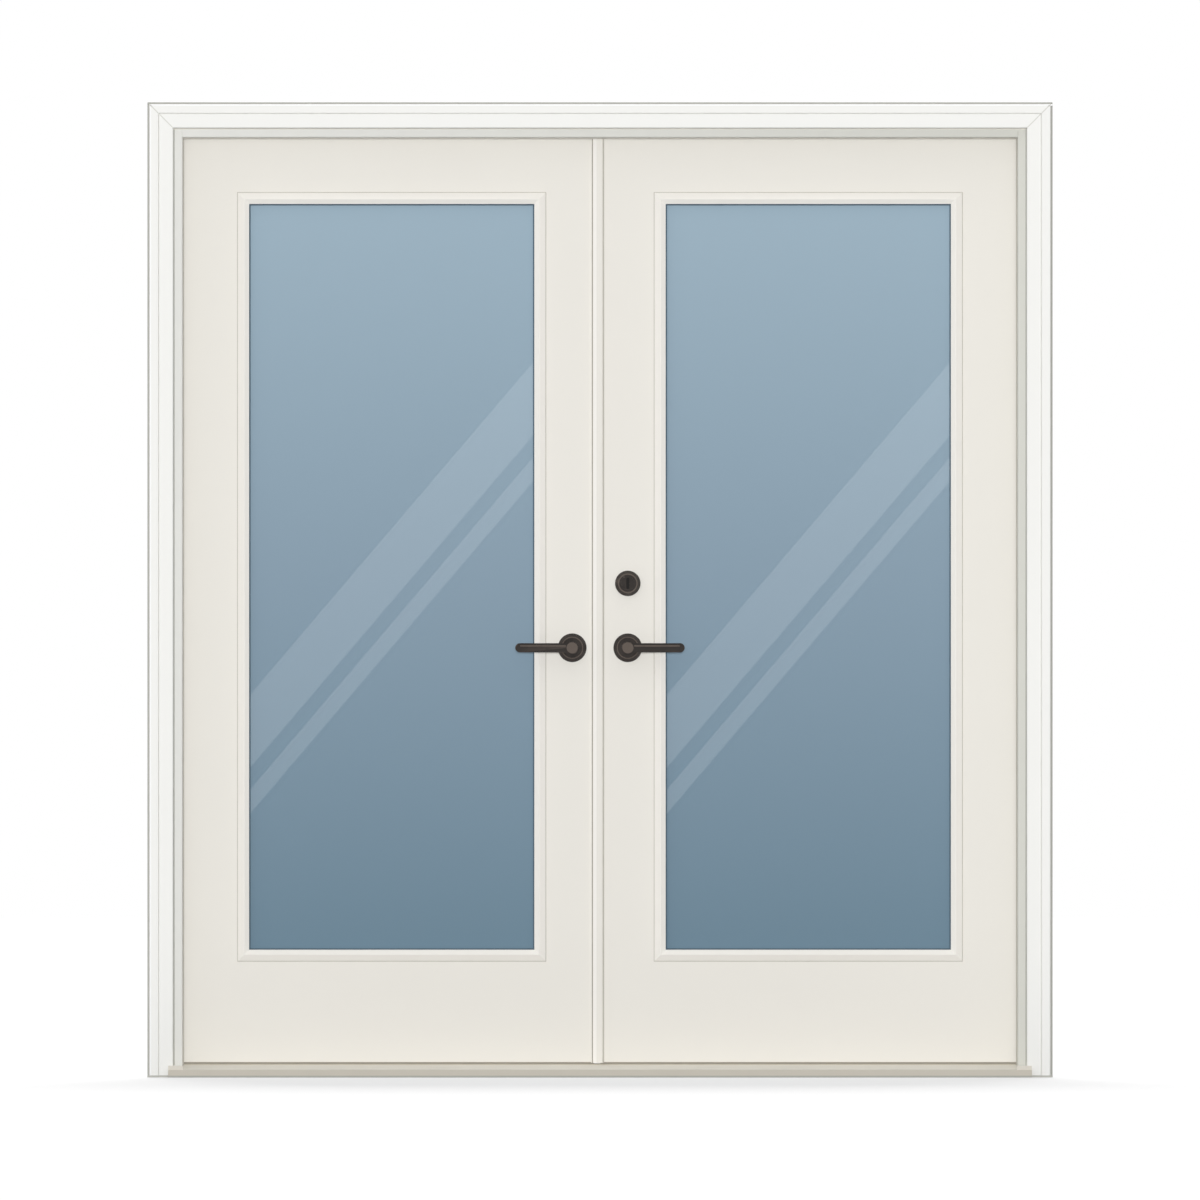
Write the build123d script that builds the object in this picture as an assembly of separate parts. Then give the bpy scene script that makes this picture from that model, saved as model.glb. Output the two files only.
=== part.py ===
from build123d import *
import math
import os

# Inswing double door with its frame, in millimetres.
# X runs to the right as seen from outside, Y into the house, Z up.
# The origin is on the sill's underside, midway between the jambs, at their outside edge.
# The right leaf is the active one. The left leaf carries the astragal.

# Leaves
LEAF_WIDTH = 914.4
LEAF_HEIGHT = 2014.5
LEAF_THICKNESS = 44.5
SKIN = 0.7
STILE_WIDTH = 32.0
TOP_RAIL_HEIGHT = 32.0
BOTTOM_RAIL_HEIGHT = 40.0
LOCK_BLOCK_WIDTH = 70.0
LOCK_BLOCK_HEIGHT = 320.0

# Gaps round the leaves
HINGE_GAP = 3.0
HEAD_GAP = 3.0
MEETING_GAP = 3.2
SWEEP_ROOM = 3.5
SEAL_ROOM = 9.5
CLEARANCE = 0.3
OVERRUN = 5.0

# Jambs and their stops
JAMB_DEPTH = 116.0
BOARD = 19.0
RABBET = 12.7
KERF_WIDTH = 3.0
KERF_DEPTH = 9.0
KERF_INSET = 4.0
STOP_EASE = 1.5
SCREW_HOLE_R = 2.75
SCREW_ROW_DEPTH = 80.0
SCREW_FROM_BOTTOM = 268.5
SCREW_FROM_TOP = 246.0

# Weatherstrip in the kerfs
BULB_WIDTH = 10.5
BULB_ROUND = 4.0
FIN_SLACK = 0.25

# Casing round the outside
CASING_WIDTH = 56.0
CASING_THICKNESS = 32.0
CASING_REVEAL = 19.6
BAND_WIDTH = 23.3
BAND_STEP = 2.5
GROOVE_WIDTH = 2.6
GROOVE_DEPTH = 3.0
CASING_EASE = 2.6
CASING_LIP = 8.0
CAULK_REBATE = 4.6

# Sill and threshold
NOSE_PROJECTION = 14.0
NOSE_HEIGHT = 16.9
NOSE_LAP = 10.7
DECK_HEIGHT = 25.4
DECK_SHEET = 1.6
DECK_LEDGE = 3.0
CAP_SEAT_HEIGHT = 13.0
CAP_HEIGHT = 28.0
CAP_EASE = 2.0

# Glazing, with the lite frame set in from the leaf's edges
LITE_LOCK_MARGIN = 118.1
LITE_HINGE_MARGIN = 128.9
LITE_TOP_MARGIN = 128.9
LITE_BOTTOM_MARGIN = 219.2
LITE_FACE = 27.0
LITE_LIP = 1.5
LITE_RISE = 11.0
BEVEL_WIDTH = 13.3
RIDGE_WIDTH = 1.6
SLOPE_WIDTH = 9.4
SLOPE_DEPTH = 17.5
LITE_LIP_DROP = 1.4
LITE_SEAT_SLACK = 1.5
CUTOUT_INSET = 13.7
GLASS_UNIT = 19.0
PANE = 3.0
GLASS_SLACK = 4.0
SPACER_WIDTH = 8.0
SPACER_INSET = 3.0

# Door bottoms
SWEEP_BASE = 1.3
SWEEP_FIN = 1.6
SWEEP_FIN_COUNT = 4
SWEEP_EDGE = 2.0

# Astragal on the left leaf
STEM = 9.5
WING = 6.3
FLANGE = 6.5
WING_RECESS = 3.4
FLANGE_EASE = 2.0
FLANGE_BEVEL = 8.0
FLANGE_DROP = 1.6
QUIRK_WIDTH = 2.4
QUIRK_LIP = 1.3
QUIRK_FLOOR = 1.2
FLANGE_LIFT = 4.0
SEAL_INSET = 0.8
STRIKE_SHEET = 1.5
STRIKE_WIDTH = 26.0
STRIKE_HEIGHT = 57.0

# Flush bolts in the astragal
FLUSH_BOLT_THICKNESS = 5.6
FLUSH_BOLT_WIDTH = 10.0
FLUSH_BOLT_LENGTH = 160.0
FLUSH_BOLT_THROW = 16.0
FLUSH_SLIDE = 0.2
FLUSH_TIP = 1.5
FINGER_NOTCH_R = 3.0
FINGER_NOTCH_DEPTH = 1.6
BOLT_PLATE_WIDTH = 16.0
BOLT_PLATE_LENGTH = 40.0
BOLT_PLATE_SHEET = 1.5
BOLT_HOLE_SLACK = 0.8

# Hinges
HINGE_HEIGHT = 101.6
HINGE_LEAF_DEPTH = 30.0
HINGE_SHEET = 2.5
KNUCKLE_R = 6.5
KNUCKLE_COUNT = 3
KNUCKLE_GAP = 0.3
PIN_R = 3.2
PIN_SLACK = 0.05
PIN_STANDOFF = 7.0
HINGE_FROM_TOP = 178.0
HINGE_FROM_BOTTOM = 279.0

# Locks
BACKSET = 60.3
LEVER_HEIGHT = 930.1
LOCK_SPACING = 139.7
CROSS_BORE_R = 25.4
EDGE_MORTISE = 25.0
FACEPLATE_WIDTH = 25.4
FACEPLATE_HEIGHT = 57.0
FACEPLATE_SHEET = 2.3
CASE_SIZE = 24.0
CASE_TAIL = 8.0
SPINDLE_HOLE_R = 6.2
LATCH_WIDTH = 10.5
LATCH_HEIGHT = 16.0
LATCH_THROW = 12.0
LATCH_LENGTH = 40.0
DEADBOLT_WIDTH = 12.0
DEADBOLT_HEIGHT = 16.0
DEADBOLT_THROW = 25.0
DEADBOLT_LENGTH = 46.0
BOLT_SLIDE = 0.25
BOLT_POCKET_SLACK = 1.2

# Levers
ROSETTE_R = 31.2
ROSETTE_RIM = 3.0
ROSETTE_RISE = 8.0
ROSETTE_RING_R = 22.6
HUB_R = 13.4
HUB_PROUD = 1.6
LEVER_REACH = 123.3
LEVER_DEPTH = 20.0
LEVER_THICKNESS = 11.0
LEVER_STANDOFF = 58.0
SPINDLE = 8.0
SPINDLE_GRIP = 12.0

# Round trim is drawn with this many sides, which keeps its mesh light
ROUND_SIDES = 36

# Deadbolt trim
COLLAR_R = 27.7
COLLAR_RIM = 5.0
COLLAR_RISE = 16.0
COLLAR_FACE_R = 20.0
PLUG_R = 14.2
PLUG_LENGTH = 13.0
KEYWAY_WIDTH = 6.6
KEYWAY_HEIGHT = 24.4
KEYWAY_DEPTH = 6.0
ROSE_RISE = 8.0
TURN_HUB_R = 9.0
TURN_HUB = 8.0
TURN_SEAT = 4.0
TURN_LENGTH = 38.0
TURN_THICKNESS = 8.0
TURN_RISE = 18.0
TAIL_WIDTH = 7.0
TAIL_THICKNESS = 2.5

# Places worked out from those sizes
FACE_Y = JAMB_DEPTH - LEAF_THICKNESS
MIDDLE_Y = (FACE_Y + JAMB_DEPTH) / 2
STOP_DEPTH = FACE_Y - SEAL_ROOM
HINGE_EDGE = LEAF_WIDTH
RABBET_X = HINGE_EDGE + HINGE_GAP
STOP_X = RABBET_X - RABBET
OUTER_X = RABBET_X + BOARD
LEAF_BOTTOM = CAP_HEIGHT + SWEEP_ROOM
LEAF_TOP = LEAF_BOTTOM + LEAF_HEIGHT
RABBET_Z = LEAF_TOP + HEAD_GAP
STOP_Z = RABBET_Z - RABBET
HEAD_Z = RABBET_Z + BOARD
CASING_X = STOP_X + CASING_REVEAL
CASING_Z = STOP_Z + CASING_REVEAL
NOSE_Y = -CASING_THICKNESS - NOSE_PROJECTION
DECK_END_Y = FACE_Y + DECK_LEDGE
STEM_X = MEETING_GAP + STEM
LOCK_HEIGHTS = (LEVER_HEIGHT, LEVER_HEIGHT + LOCK_SPACING)
BOLT_HEIGHTS = (LATCH_HEIGHT, DEADBOLT_HEIGHT)
BOLT_WIDTHS = (LATCH_WIDTH, DEADBOLT_WIDTH)
PIN_X = RABBET_X - HINGE_GAP / 2
PIN_Y = JAMB_DEPTH + PIN_STANDOFF
LOW_HINGE = LEAF_BOTTOM + HINGE_FROM_BOTTOM + HINGE_HEIGHT / 2
HIGH_HINGE = LEAF_TOP - HINGE_FROM_TOP - HINGE_HEIGHT / 2
HINGE_HEIGHTS = (LOW_HINGE, (LOW_HINGE + HIGH_HINGE) / 2, HIGH_HINGE)
LITE_WIDTH = LEAF_WIDTH - LITE_LOCK_MARGIN - LITE_HINGE_MARGIN
LITE_HEIGHT = LEAF_HEIGHT - LITE_TOP_MARGIN - LITE_BOTTOM_MARGIN
LITE_X = LITE_LOCK_MARGIN + LITE_WIDTH / 2
LITE_Z = LEAF_BOTTOM + LITE_BOTTOM_MARGIN + LITE_HEIGHT / 2
GLASS_FACE_Y = MIDDLE_Y - GLASS_UNIT / 2
FLUSH_X = MEETING_GAP + FLUSH_BOLT_THICKNESS / 2
LEVER_FRONT = FACE_Y - LEVER_STANDOFF


def block(x, y, z):
    """A box between two limits on each axis."""
    size = [high - low for low, high in (x, y, z)]
    middle = [(high + low) / 2 for low, high in (x, y, z)]
    return Pos(*middle) * Box(*size)


def rod_y(radius, x, z, y):
    """A round bar across the door's thickness."""
    low, high = y
    turned = Rot(90, 0, 0) * Cylinder(radius, high - low)
    return Pos(x, (low + high) / 2, z) * turned


def rod_x(radius, y, z, x):
    """A round bar along the door's width."""
    low, high = x
    turned = Rot(0, 90, 0) * Cylinder(radius, high - low)
    return Pos((low + high) / 2, y, z) * turned


def prism_x(points, low, high):
    """A (Y, Z) outline drawn along X."""
    return extrude(Plane.YZ.offset(low) * Polygon(*points, align=None), amount=high - low, dir=(1, 0, 0))


def prism_y(points, low, high):
    """An (X, Z) outline drawn along Y."""
    return extrude(Plane.XZ.offset(-high) * Polygon(*points, align=None), amount=high - low, dir=(0, -1, 0))


def prism_z(points, low, high):
    """An (X, Y) outline drawn along Z."""
    return extrude(Plane.XY.offset(low) * Polygon(*points, align=None), amount=high - low, dir=(0, 0, 1))


def lite_rectangle(inset, y):
    """The lite's outline, drawn in by inset, in the plane at depth y."""
    plane = Plane(origin=(LITE_X, y, LITE_Z), x_dir=(1, 0, 0), z_dir=(0, -1, 0))
    return plane * Rectangle(LITE_WIDTH - 2 * inset, LITE_HEIGHT - 2 * inset)


def lite_taper(inset, y, far_inset, far_y):
    """A block between two such outlines."""
    return loft([lite_rectangle(inset, y), lite_rectangle(far_inset, far_y)], ruled=True)


def mirrored(shape):
    """The same piece on the other side of the door."""
    return mirror(shape, about=Plane.YZ)


def inside_out(shape):
    """The same piece on the other face of the leaf."""
    return mirror(shape, about=Plane.XZ.offset(-MIDDLE_Y))


# Frame

def sill_outline(top_drop, front_inset):
    """The sill's slope and nose, as (Y, Z) points."""
    front = NOSE_Y + front_inset
    return [
        (front, 0),
        (front, NOSE_HEIGHT - top_drop),
        (DECK_END_Y, DECK_HEIGHT - top_drop),
        (DECK_END_Y, 0),
    ]


def trim_sill_ends(sill):
    """Cut a sill piece back between the casings and then between the jambs."""
    far = CASING_X + NOSE_LAP + OVERRUN
    tall = (-OVERRUN, DECK_HEIGHT + OVERRUN)
    for side in (1, -1):
        for inner, front in ((CASING_X, -CASING_THICKNESS), (RABBET_X, 0)):
            ends = sorted((side * inner, side * far))
            sill -= block(ends, (front, JAMB_DEPTH + OVERRUN), tall)
    return sill


def sill_base():
    """Composite core of the sill, with the seat of the threshold cap at its back."""
    length = CASING_X + NOSE_LAP
    base = prism_x(sill_outline(DECK_SHEET, DECK_SHEET), -length, length)
    base += block((-length, length), (DECK_END_Y, JAMB_DEPTH), (0, CAP_SEAT_HEIGHT))
    return trim_sill_ends(base)


def sill_deck():
    """Bent aluminium sheet over the slope and the nose."""
    length = CASING_X + NOSE_LAP
    deck = prism_x(sill_outline(0, 0), -length, length)
    deck -= prism_x(sill_outline(DECK_SHEET, DECK_SHEET), -length, length)
    return trim_sill_ends(deck)


def threshold_cap():
    """Cap that the leaves close over, holed for the lower flush bolt."""
    low, high = DECK_END_Y, JAMB_DEPTH
    cap = block((-RABBET_X, RABBET_X), (low, high), (CAP_SEAT_HEIGHT, CAP_HEIGHT))
    top_edges = cap.edges().filter_by(Axis.X).group_by(Axis.Z)[-1]
    cap = chamfer(top_edges, CAP_EASE)
    cap -= bolt_plate_blank(CAP_HEIGHT - BOLT_PLATE_SHEET, CAP_HEIGHT + OVERRUN)
    return cap - flush_bolt_room(CAP_SEAT_HEIGHT - OVERRUN, CAP_HEIGHT, BOLT_HOLE_SLACK)


def kerf_points(slack):
    """The kerf beside the rabbet, as a width range and a depth range."""
    width = (KERF_INSET + slack, KERF_INSET + KERF_WIDTH - slack)
    return width, (STOP_DEPTH - KERF_DEPTH + slack, STOP_DEPTH)


def side_jamb():
    """Right jamb board, drilled for its screws and cut for the hinges."""
    jamb = block((RABBET_X, OUTER_X), (0, JAMB_DEPTH), (0, HEAD_Z))
    for height in (LEAF_BOTTOM + SCREW_FROM_BOTTOM, LEAF_TOP - SCREW_FROM_TOP):
        jamb -= rod_x(SCREW_HOLE_R, SCREW_ROW_DEPTH, height, (RABBET_X - OVERRUN, OUTER_X + OVERRUN))
    for height in HINGE_HEIGHTS:
        jamb -= hinge_plate(RABBET_X, RABBET_X + HINGE_SHEET, height)
    return jamb


def head_jamb():
    """Head board between the side jambs, holed for the upper flush bolt."""
    head = block((-RABBET_X, RABBET_X), (0, JAMB_DEPTH), (RABBET_Z, HEAD_Z))
    head -= bolt_plate_blank(RABBET_Z, RABBET_Z + BOLT_PLATE_SHEET)
    return head - flush_bolt_room(RABBET_Z, HEAD_Z + OVERRUN, BOLT_HOLE_SLACK)


def side_stop():
    """Right stop, eased at its front, kerfed at its back and coped over the sill."""
    stop = block((STOP_X, RABBET_X), (0, STOP_DEPTH), (0, RABBET_Z))
    front = stop.edges().filter_by(Axis.Z).group_by(Axis.Y)[0]
    stop = chamfer(front.sort_by(Axis.X)[0], STOP_EASE)
    (near, far), depth = kerf_points(0)
    stop -= block((RABBET_X - far, RABBET_X - near), depth, (0, STOP_Z))
    return stop - prism_x(sill_outline(0, 0), 0, RABBET_X)


def head_stop():
    """The same stop under the head, between the side stops."""
    stop = block((-STOP_X, STOP_X), (0, STOP_DEPTH), (STOP_Z, RABBET_Z))
    front = stop.edges().filter_by(Axis.X).group_by(Axis.Y)[0]
    stop = chamfer(front.sort_by(Axis.Z)[0], STOP_EASE)
    (near, far), depth = kerf_points(0)
    return stop - block((-STOP_X, STOP_X), depth, (RABBET_Z - far, RABBET_Z - near))


def casing_section(inner):
    """Casing profile: an eased flat, a groove, a raised band and a caulk rebate, as (across, forward)."""
    flat = CASING_THICKNESS - BAND_STEP
    outer = inner + CASING_WIDTH
    band = outer - CAULK_REBATE
    groove = outer - BAND_WIDTH
    section = Polygon(
        (inner, 0),
        (outer, 0),
        (outer, -CASING_LIP),
        (band, -CASING_LIP),
        (band, -CASING_THICKNESS),
        (groove, -CASING_THICKNESS),
        (groove - GROOVE_WIDTH / 2, -flat + GROOVE_DEPTH),
        (groove - GROOVE_WIDTH, -flat),
        (inner, -flat),
        align=None,
    )
    inner_front = section.vertices().group_by(Axis.X)[0].sort_by(Axis.Y)[0]
    outer_front = section.vertices().group_by(Axis.Y)[0].sort_by(Axis.X)[-1]
    return fillet([inner_front, outer_front], CASING_EASE)


def side_casing():
    """Right casing leg, down to the floor and mitred at the top."""
    top = CASING_Z + CASING_WIDTH
    outer = CASING_X + CASING_WIDTH
    leg = extrude(casing_section(CASING_X), amount=top, dir=(0, 0, 1))
    mitre = [(outer, top), (CASING_X, CASING_Z), (CASING_X, top)]
    return leg - prism_y(mitre, -CASING_THICKNESS, 0)


def head_casing():
    """Casing over the door, mitred at both ends."""
    outer = CASING_X + CASING_WIDTH
    upright = Plane(origin=(-outer, 0, 0), x_dir=(0, 0, 1), z_dir=(-1, 0, 0))
    bar = extrude(upright * casing_section(CASING_Z), amount=2 * outer, dir=(1, 0, 0))
    top = CASING_Z + CASING_WIDTH
    mitre = prism_y([(outer, top), (outer, CASING_Z), (CASING_X, CASING_Z)], -CASING_THICKNESS, 0)
    return bar - mitre - mirrored(mitre)


def side_weatherstrip():
    """Bulb seal of the right jamb, with its fin in the kerf."""
    bottom = DECK_HEIGHT + CLEARANCE
    top = RABBET_Z - CLEARANCE
    strip = block(
        (RABBET_X - BULB_WIDTH, RABBET_X - CLEARANCE), (STOP_DEPTH, FACE_Y - CLEARANCE), (bottom, top)
    )
    nose = strip.edges().filter_by(Axis.Z).group_by(Axis.Y)[-1]
    strip = fillet(nose, BULB_ROUND)
    (near, far), depth = kerf_points(FIN_SLACK)
    return strip + block((RABBET_X - far, RABBET_X - near), depth, (bottom, STOP_Z))


def head_weatherstrip():
    """Bulb seal of the head, between the side seals."""
    half = RABBET_X - BULB_WIDTH - CLEARANCE
    strip = block(
        (-half, half), (STOP_DEPTH, FACE_Y - CLEARANCE), (RABBET_Z - BULB_WIDTH, RABBET_Z - CLEARANCE)
    )
    nose = strip.edges().filter_by(Axis.X).group_by(Axis.Y)[-1]
    strip = fillet(nose, BULB_ROUND)
    (near, far), depth = kerf_points(FIN_SLACK)
    inner = STOP_X - CLEARANCE
    return strip + block((-inner, inner), depth, (RABBET_Z - far, RABBET_Z - near))


# Hinges

def hinge_plate(near, far, height):
    """A hinge leaf's square plate."""
    half = HINGE_HEIGHT / 2
    return block((near, far), (JAMB_DEPTH - HINGE_LEAF_DEPTH, JAMB_DEPTH), (height - half, height + half))


def hinge_leaf(near, far, height, first):
    """A plate with every second knuckle, counted from first."""
    pitch = HINGE_HEIGHT / KNUCKLE_COUNT
    bottom = height - HINGE_HEIGHT / 2
    leaf = hinge_plate(near, far, height)
    for number in range(first, KNUCKLE_COUNT, 2):
        low = bottom + number * pitch + KNUCKLE_GAP / 2
        high = bottom + (number + 1) * pitch - KNUCKLE_GAP / 2
        leaf += block((near, far), (JAMB_DEPTH, PIN_Y), (low, high))
        leaf += Pos(PIN_X, PIN_Y, (low + high) / 2) * Cylinder(KNUCKLE_R, high - low)
    return leaf


def hinge_bore(radius, height):
    """The pin's line from the middle of one outer knuckle to the middle of the other."""
    return Pos(PIN_X, PIN_Y, height) * Cylinder(radius, HINGE_HEIGHT - HINGE_HEIGHT / KNUCKLE_COUNT)


def jamb_hinge_leaf(height):
    """The half that is let into the jamb, with the pin fixed in its knuckles."""
    leaf = hinge_leaf(RABBET_X, RABBET_X + HINGE_SHEET, height, 0)
    return leaf + hinge_bore(PIN_R, height)


def door_hinge_leaf(height):
    """The half that is let into the leaf's edge, bored to turn on the pin."""
    leaf = hinge_leaf(HINGE_EDGE - HINGE_SHEET, HINGE_EDGE, height, 1)
    return leaf - hinge_bore(PIN_R + PIN_SLACK, height)


# Leaves, built as the right one

def slab_cuts():
    """What both leaves are cut for: the lite and the hinges."""
    cuts = [lite_taper(CUTOUT_INSET, -OVERRUN, CUTOUT_INSET, JAMB_DEPTH + OVERRUN)]
    for height in HINGE_HEIGHTS:
        cuts.append(hinge_plate(HINGE_EDGE - HINGE_SHEET, HINGE_EDGE, height))
    return cuts


def lock_cuts():
    """Bores and faceplate mortises for the latch and the deadbolt."""
    cuts = []
    for height in LOCK_HEIGHTS:
        cuts.append(rod_y(CROSS_BORE_R, BACKSET, height, (0, JAMB_DEPTH + OVERRUN)))
        cuts.append(edge_bar(EDGE_MORTISE, height, (-OVERRUN, BACKSET)))
        cuts.append(faceplate_blank(height))
    return cuts


def deadbolt_pocket():
    """Room in the left leaf's edge for the thrown deadbolt."""
    end = DEADBOLT_THROW + BOLT_POCKET_SLACK
    return bolt_room(DEADBOLT_WIDTH, DEADBOLT_HEIGHT, LOCK_HEIGHTS[1], (0, end))


def leaf_pieces(lock_edge, cuts):
    """Skins, stiles, rails, lock block and foam core of one leaf."""
    inner = (FACE_Y + SKIN, JAMB_DEPTH - SKIN)
    across = (lock_edge, HINGE_EDGE)
    up = (LEAF_BOTTOM, LEAF_TOP)
    between = (lock_edge + STILE_WIDTH, HINGE_EDGE - STILE_WIDTH)
    core_up = (LEAF_BOTTOM + BOTTOM_RAIL_HEIGHT, LEAF_TOP - TOP_RAIL_HEIGHT)
    middle = sum(LOCK_HEIGHTS) / 2
    lock_up = (middle - LOCK_BLOCK_HEIGHT / 2, middle + LOCK_BLOCK_HEIGHT / 2)
    lock_block = block((between[0], between[0] + LOCK_BLOCK_WIDTH), inner, lock_up)
    sticks = [
        block((lock_edge, between[0]), inner, up),
        block((between[1], HINGE_EDGE), inner, up),
        block(between, inner, (core_up[1], LEAF_TOP)),
        block(between, inner, (LEAF_BOTTOM, core_up[0])),
        lock_block,
    ]
    pieces = {
        "outer_skin": [block(across, (FACE_Y, inner[0]), up)],
        "inner_skin": [block(across, (inner[1], JAMB_DEPTH), up)],
        "stile_frame": sticks,
        "core": [block(between, inner, core_up) - lock_block],
    }
    return {name: [cut_all(solid, cuts) for solid in solids] for name, solids in pieces.items()}


def cut_all(solid, cuts):
    """One solid less every cut that reaches it."""
    for cut in cuts:
        solid -= cut
    return solid


def lite_frame():
    """Moulded outer lite frame: bevel, ridge, slope to the glass and a leg into the cut-out."""
    front = FACE_Y - LITE_RISE
    lip_y = FACE_Y - LITE_LIP
    slope_inset = BEVEL_WIDTH + RIDGE_WIDTH
    slope_end = slope_inset + SLOPE_WIDTH
    slope_y = front + SLOPE_DEPTH
    leg_inset = CUTOUT_INSET + LITE_SEAT_SLACK
    frame = lite_taper(0, FACE_Y, 0, lip_y)
    frame += lite_taper(0, lip_y, BEVEL_WIDTH, front)
    frame += lite_taper(leg_inset, FACE_Y, leg_inset, GLASS_FACE_Y)
    frame -= lite_taper(slope_inset, front, slope_end, slope_y)
    frame -= lite_taper(slope_end, slope_y, LITE_FACE, slope_y + LITE_LIP_DROP)
    return frame - lite_taper(LITE_FACE, lip_y, LITE_FACE, GLASS_FACE_Y)


def pane():
    """Outer sheet of the glass unit."""
    inset = CUTOUT_INSET + GLASS_SLACK
    return lite_taper(inset, GLASS_FACE_Y, inset, GLASS_FACE_Y + PANE)


def glass_spacer():
    """Spacer bar between the two panes."""
    inset = CUTOUT_INSET + GLASS_SLACK + SPACER_INSET
    low, high = GLASS_FACE_Y + PANE, GLASS_FACE_Y + GLASS_UNIT - PANE
    inner = inset + SPACER_WIDTH
    return lite_taper(inset, low, inset, high) - lite_taper(inner, low, inner, high)


def sweep_strip(lock_edge):
    """Vinyl door bottom: a base strip with fins that brush the cap."""
    low, high = FACE_Y + SWEEP_EDGE, JAMB_DEPTH - SWEEP_EDGE
    strip = block((lock_edge, HINGE_EDGE), (low, high), (LEAF_BOTTOM - SWEEP_BASE, LEAF_BOTTOM))
    pitch = (high - low - SWEEP_FIN) / (SWEEP_FIN_COUNT - 1)
    for number in range(SWEEP_FIN_COUNT):
        start = low + number * pitch
        fin = (CAP_HEIGHT + CLEARANCE, LEAF_BOTTOM - SWEEP_BASE)
        strip += block((lock_edge, HINGE_EDGE), (start, start + SWEEP_FIN), fin)
    return strip


# Astragal and flush bolts, built with the leaf to their right and mirrored

def astragal_flange():
    """Cover strip over the joint, bevelled to a quirk at its far edge and recessed behind the wing."""
    front = FACE_Y - FLANGE
    shoulder = front + FLANGE_DROP
    floor = FACE_Y - QUIRK_FLOOR
    outer = STEM_X + WING
    lip = outer - QUIRK_LIP
    quirk = lip - QUIRK_WIDTH
    outline = [
        (-WING, FACE_Y),
        (-WING, front + FLANGE_EASE),
        (-WING + FLANGE_EASE, front),
        (quirk - FLANGE_BEVEL, front),
        (quirk, shoulder),
        (quirk, floor),
        (lip, floor),
        (lip, shoulder),
        (outer, shoulder),
        (outer, FACE_Y),
    ]
    strip = prism_z(outline, DECK_HEIGHT + FLANGE_LIFT, STOP_Z - CLEARANCE)
    return strip - block((-WING - OVERRUN, MEETING_GAP), (FACE_Y - WING_RECESS, FACE_Y), (0, STOP_Z))


def astragal_stem():
    """Bar on the left leaf's edge, cut for the strikes and the flush bolts."""
    bar = block((MEETING_GAP, STEM_X), (FACE_Y, JAMB_DEPTH), (LEAF_BOTTOM, LEAF_TOP))
    end = STEM_X + OVERRUN
    for width, tall, height in zip(BOLT_WIDTHS, BOLT_HEIGHTS, LOCK_HEIGHTS):
        bar -= strike_blank(height)
        bar -= bolt_room(width, tall, height, (0, end))
    travel = FLUSH_BOLT_LENGTH + FLUSH_BOLT_THROW
    bar -= flush_bolt_channel(LEAF_TOP - travel, LEAF_TOP + OVERRUN)
    return bar - flush_bolt_channel(LEAF_BOTTOM - OVERRUN, LEAF_BOTTOM + travel)


def astragal_seal():
    """Foam strip behind the astragal's wing."""
    across = (-WING + SEAL_INSET, MEETING_GAP - SEAL_INSET)
    up = (DECK_HEIGHT + FLANGE_LIFT, STOP_Z - CLEARANCE)
    return block(across, (FACE_Y - WING_RECESS, FACE_Y - CLEARANCE), up)


def bolt_room(width, height, middle, across):
    """Room for a lock bolt, on the lock's centre line."""
    half_y, half_z = width / 2 + BOLT_POCKET_SLACK, height / 2 + BOLT_POCKET_SLACK
    return block(across, (MIDDLE_Y - half_y, MIDDLE_Y + half_y), (middle - half_z, middle + half_z))


def strike_blank(height):
    """Outline of a strike plate, let into the astragal's edge."""
    across = (MEETING_GAP, MEETING_GAP + STRIKE_SHEET)
    half_y, half_z = STRIKE_WIDTH / 2, STRIKE_HEIGHT / 2
    y = (MIDDLE_Y - half_y, MIDDLE_Y + half_y)
    return block(across, y, (height - half_z, height + half_z))


def lock_strikes():
    """Strike plates of the latch and the deadbolt."""
    plates = []
    for width, tall, height in zip(BOLT_WIDTHS, BOLT_HEIGHTS, LOCK_HEIGHTS):
        plates.append(strike_blank(height) - bolt_room(width, tall, height, (0, STEM_X)))
    return plates


def flush_bolt_room(bottom, top, slack):
    """Room for a flush bolt in the frame, on the left of the door's middle."""
    half_x, half_y = FLUSH_BOLT_THICKNESS / 2 + slack, FLUSH_BOLT_WIDTH / 2 + slack
    y = (MIDDLE_Y - half_y, MIDDLE_Y + half_y)
    return block((-FLUSH_X - half_x, -FLUSH_X + half_x), y, (bottom, top))


def flush_bolt_channel(bottom, top):
    """Slot in the astragal's edge that a flush bolt slides in."""
    half_y = FLUSH_BOLT_WIDTH / 2 + FLUSH_SLIDE
    across = (0, MEETING_GAP + FLUSH_BOLT_THICKNESS + FLUSH_SLIDE)
    return block(across, (MIDDLE_Y - half_y, MIDDLE_Y + half_y), (bottom, top))


def flush_bolt(bottom, top, tip_row):
    """Sliding bolt with a tapered tip and a notch for a finger."""
    half_x, half_y = FLUSH_BOLT_THICKNESS / 2, FLUSH_BOLT_WIDTH / 2
    y = (MIDDLE_Y - half_y, MIDDLE_Y + half_y)
    bolt = block((FLUSH_X - half_x, FLUSH_X + half_x), y, (bottom, top))
    bolt = chamfer(bolt.edges().filter_by(Axis.X).group_by(Axis.Z)[tip_row], FLUSH_TIP)
    notch_x = MEETING_GAP + FINGER_NOTCH_DEPTH - FINGER_NOTCH_R
    return bolt - rod_y(FINGER_NOTCH_R, notch_x, (bottom + top) / 2, y)


def bolt_plate_blank(bottom, top):
    """Outline of a flush bolt's plate in the head or the threshold."""
    half_x, half_y = BOLT_PLATE_LENGTH / 2, BOLT_PLATE_WIDTH / 2
    y = (MIDDLE_Y - half_y, MIDDLE_Y + half_y)
    return block((-FLUSH_X - half_x, -FLUSH_X + half_x), y, (bottom, top))


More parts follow.
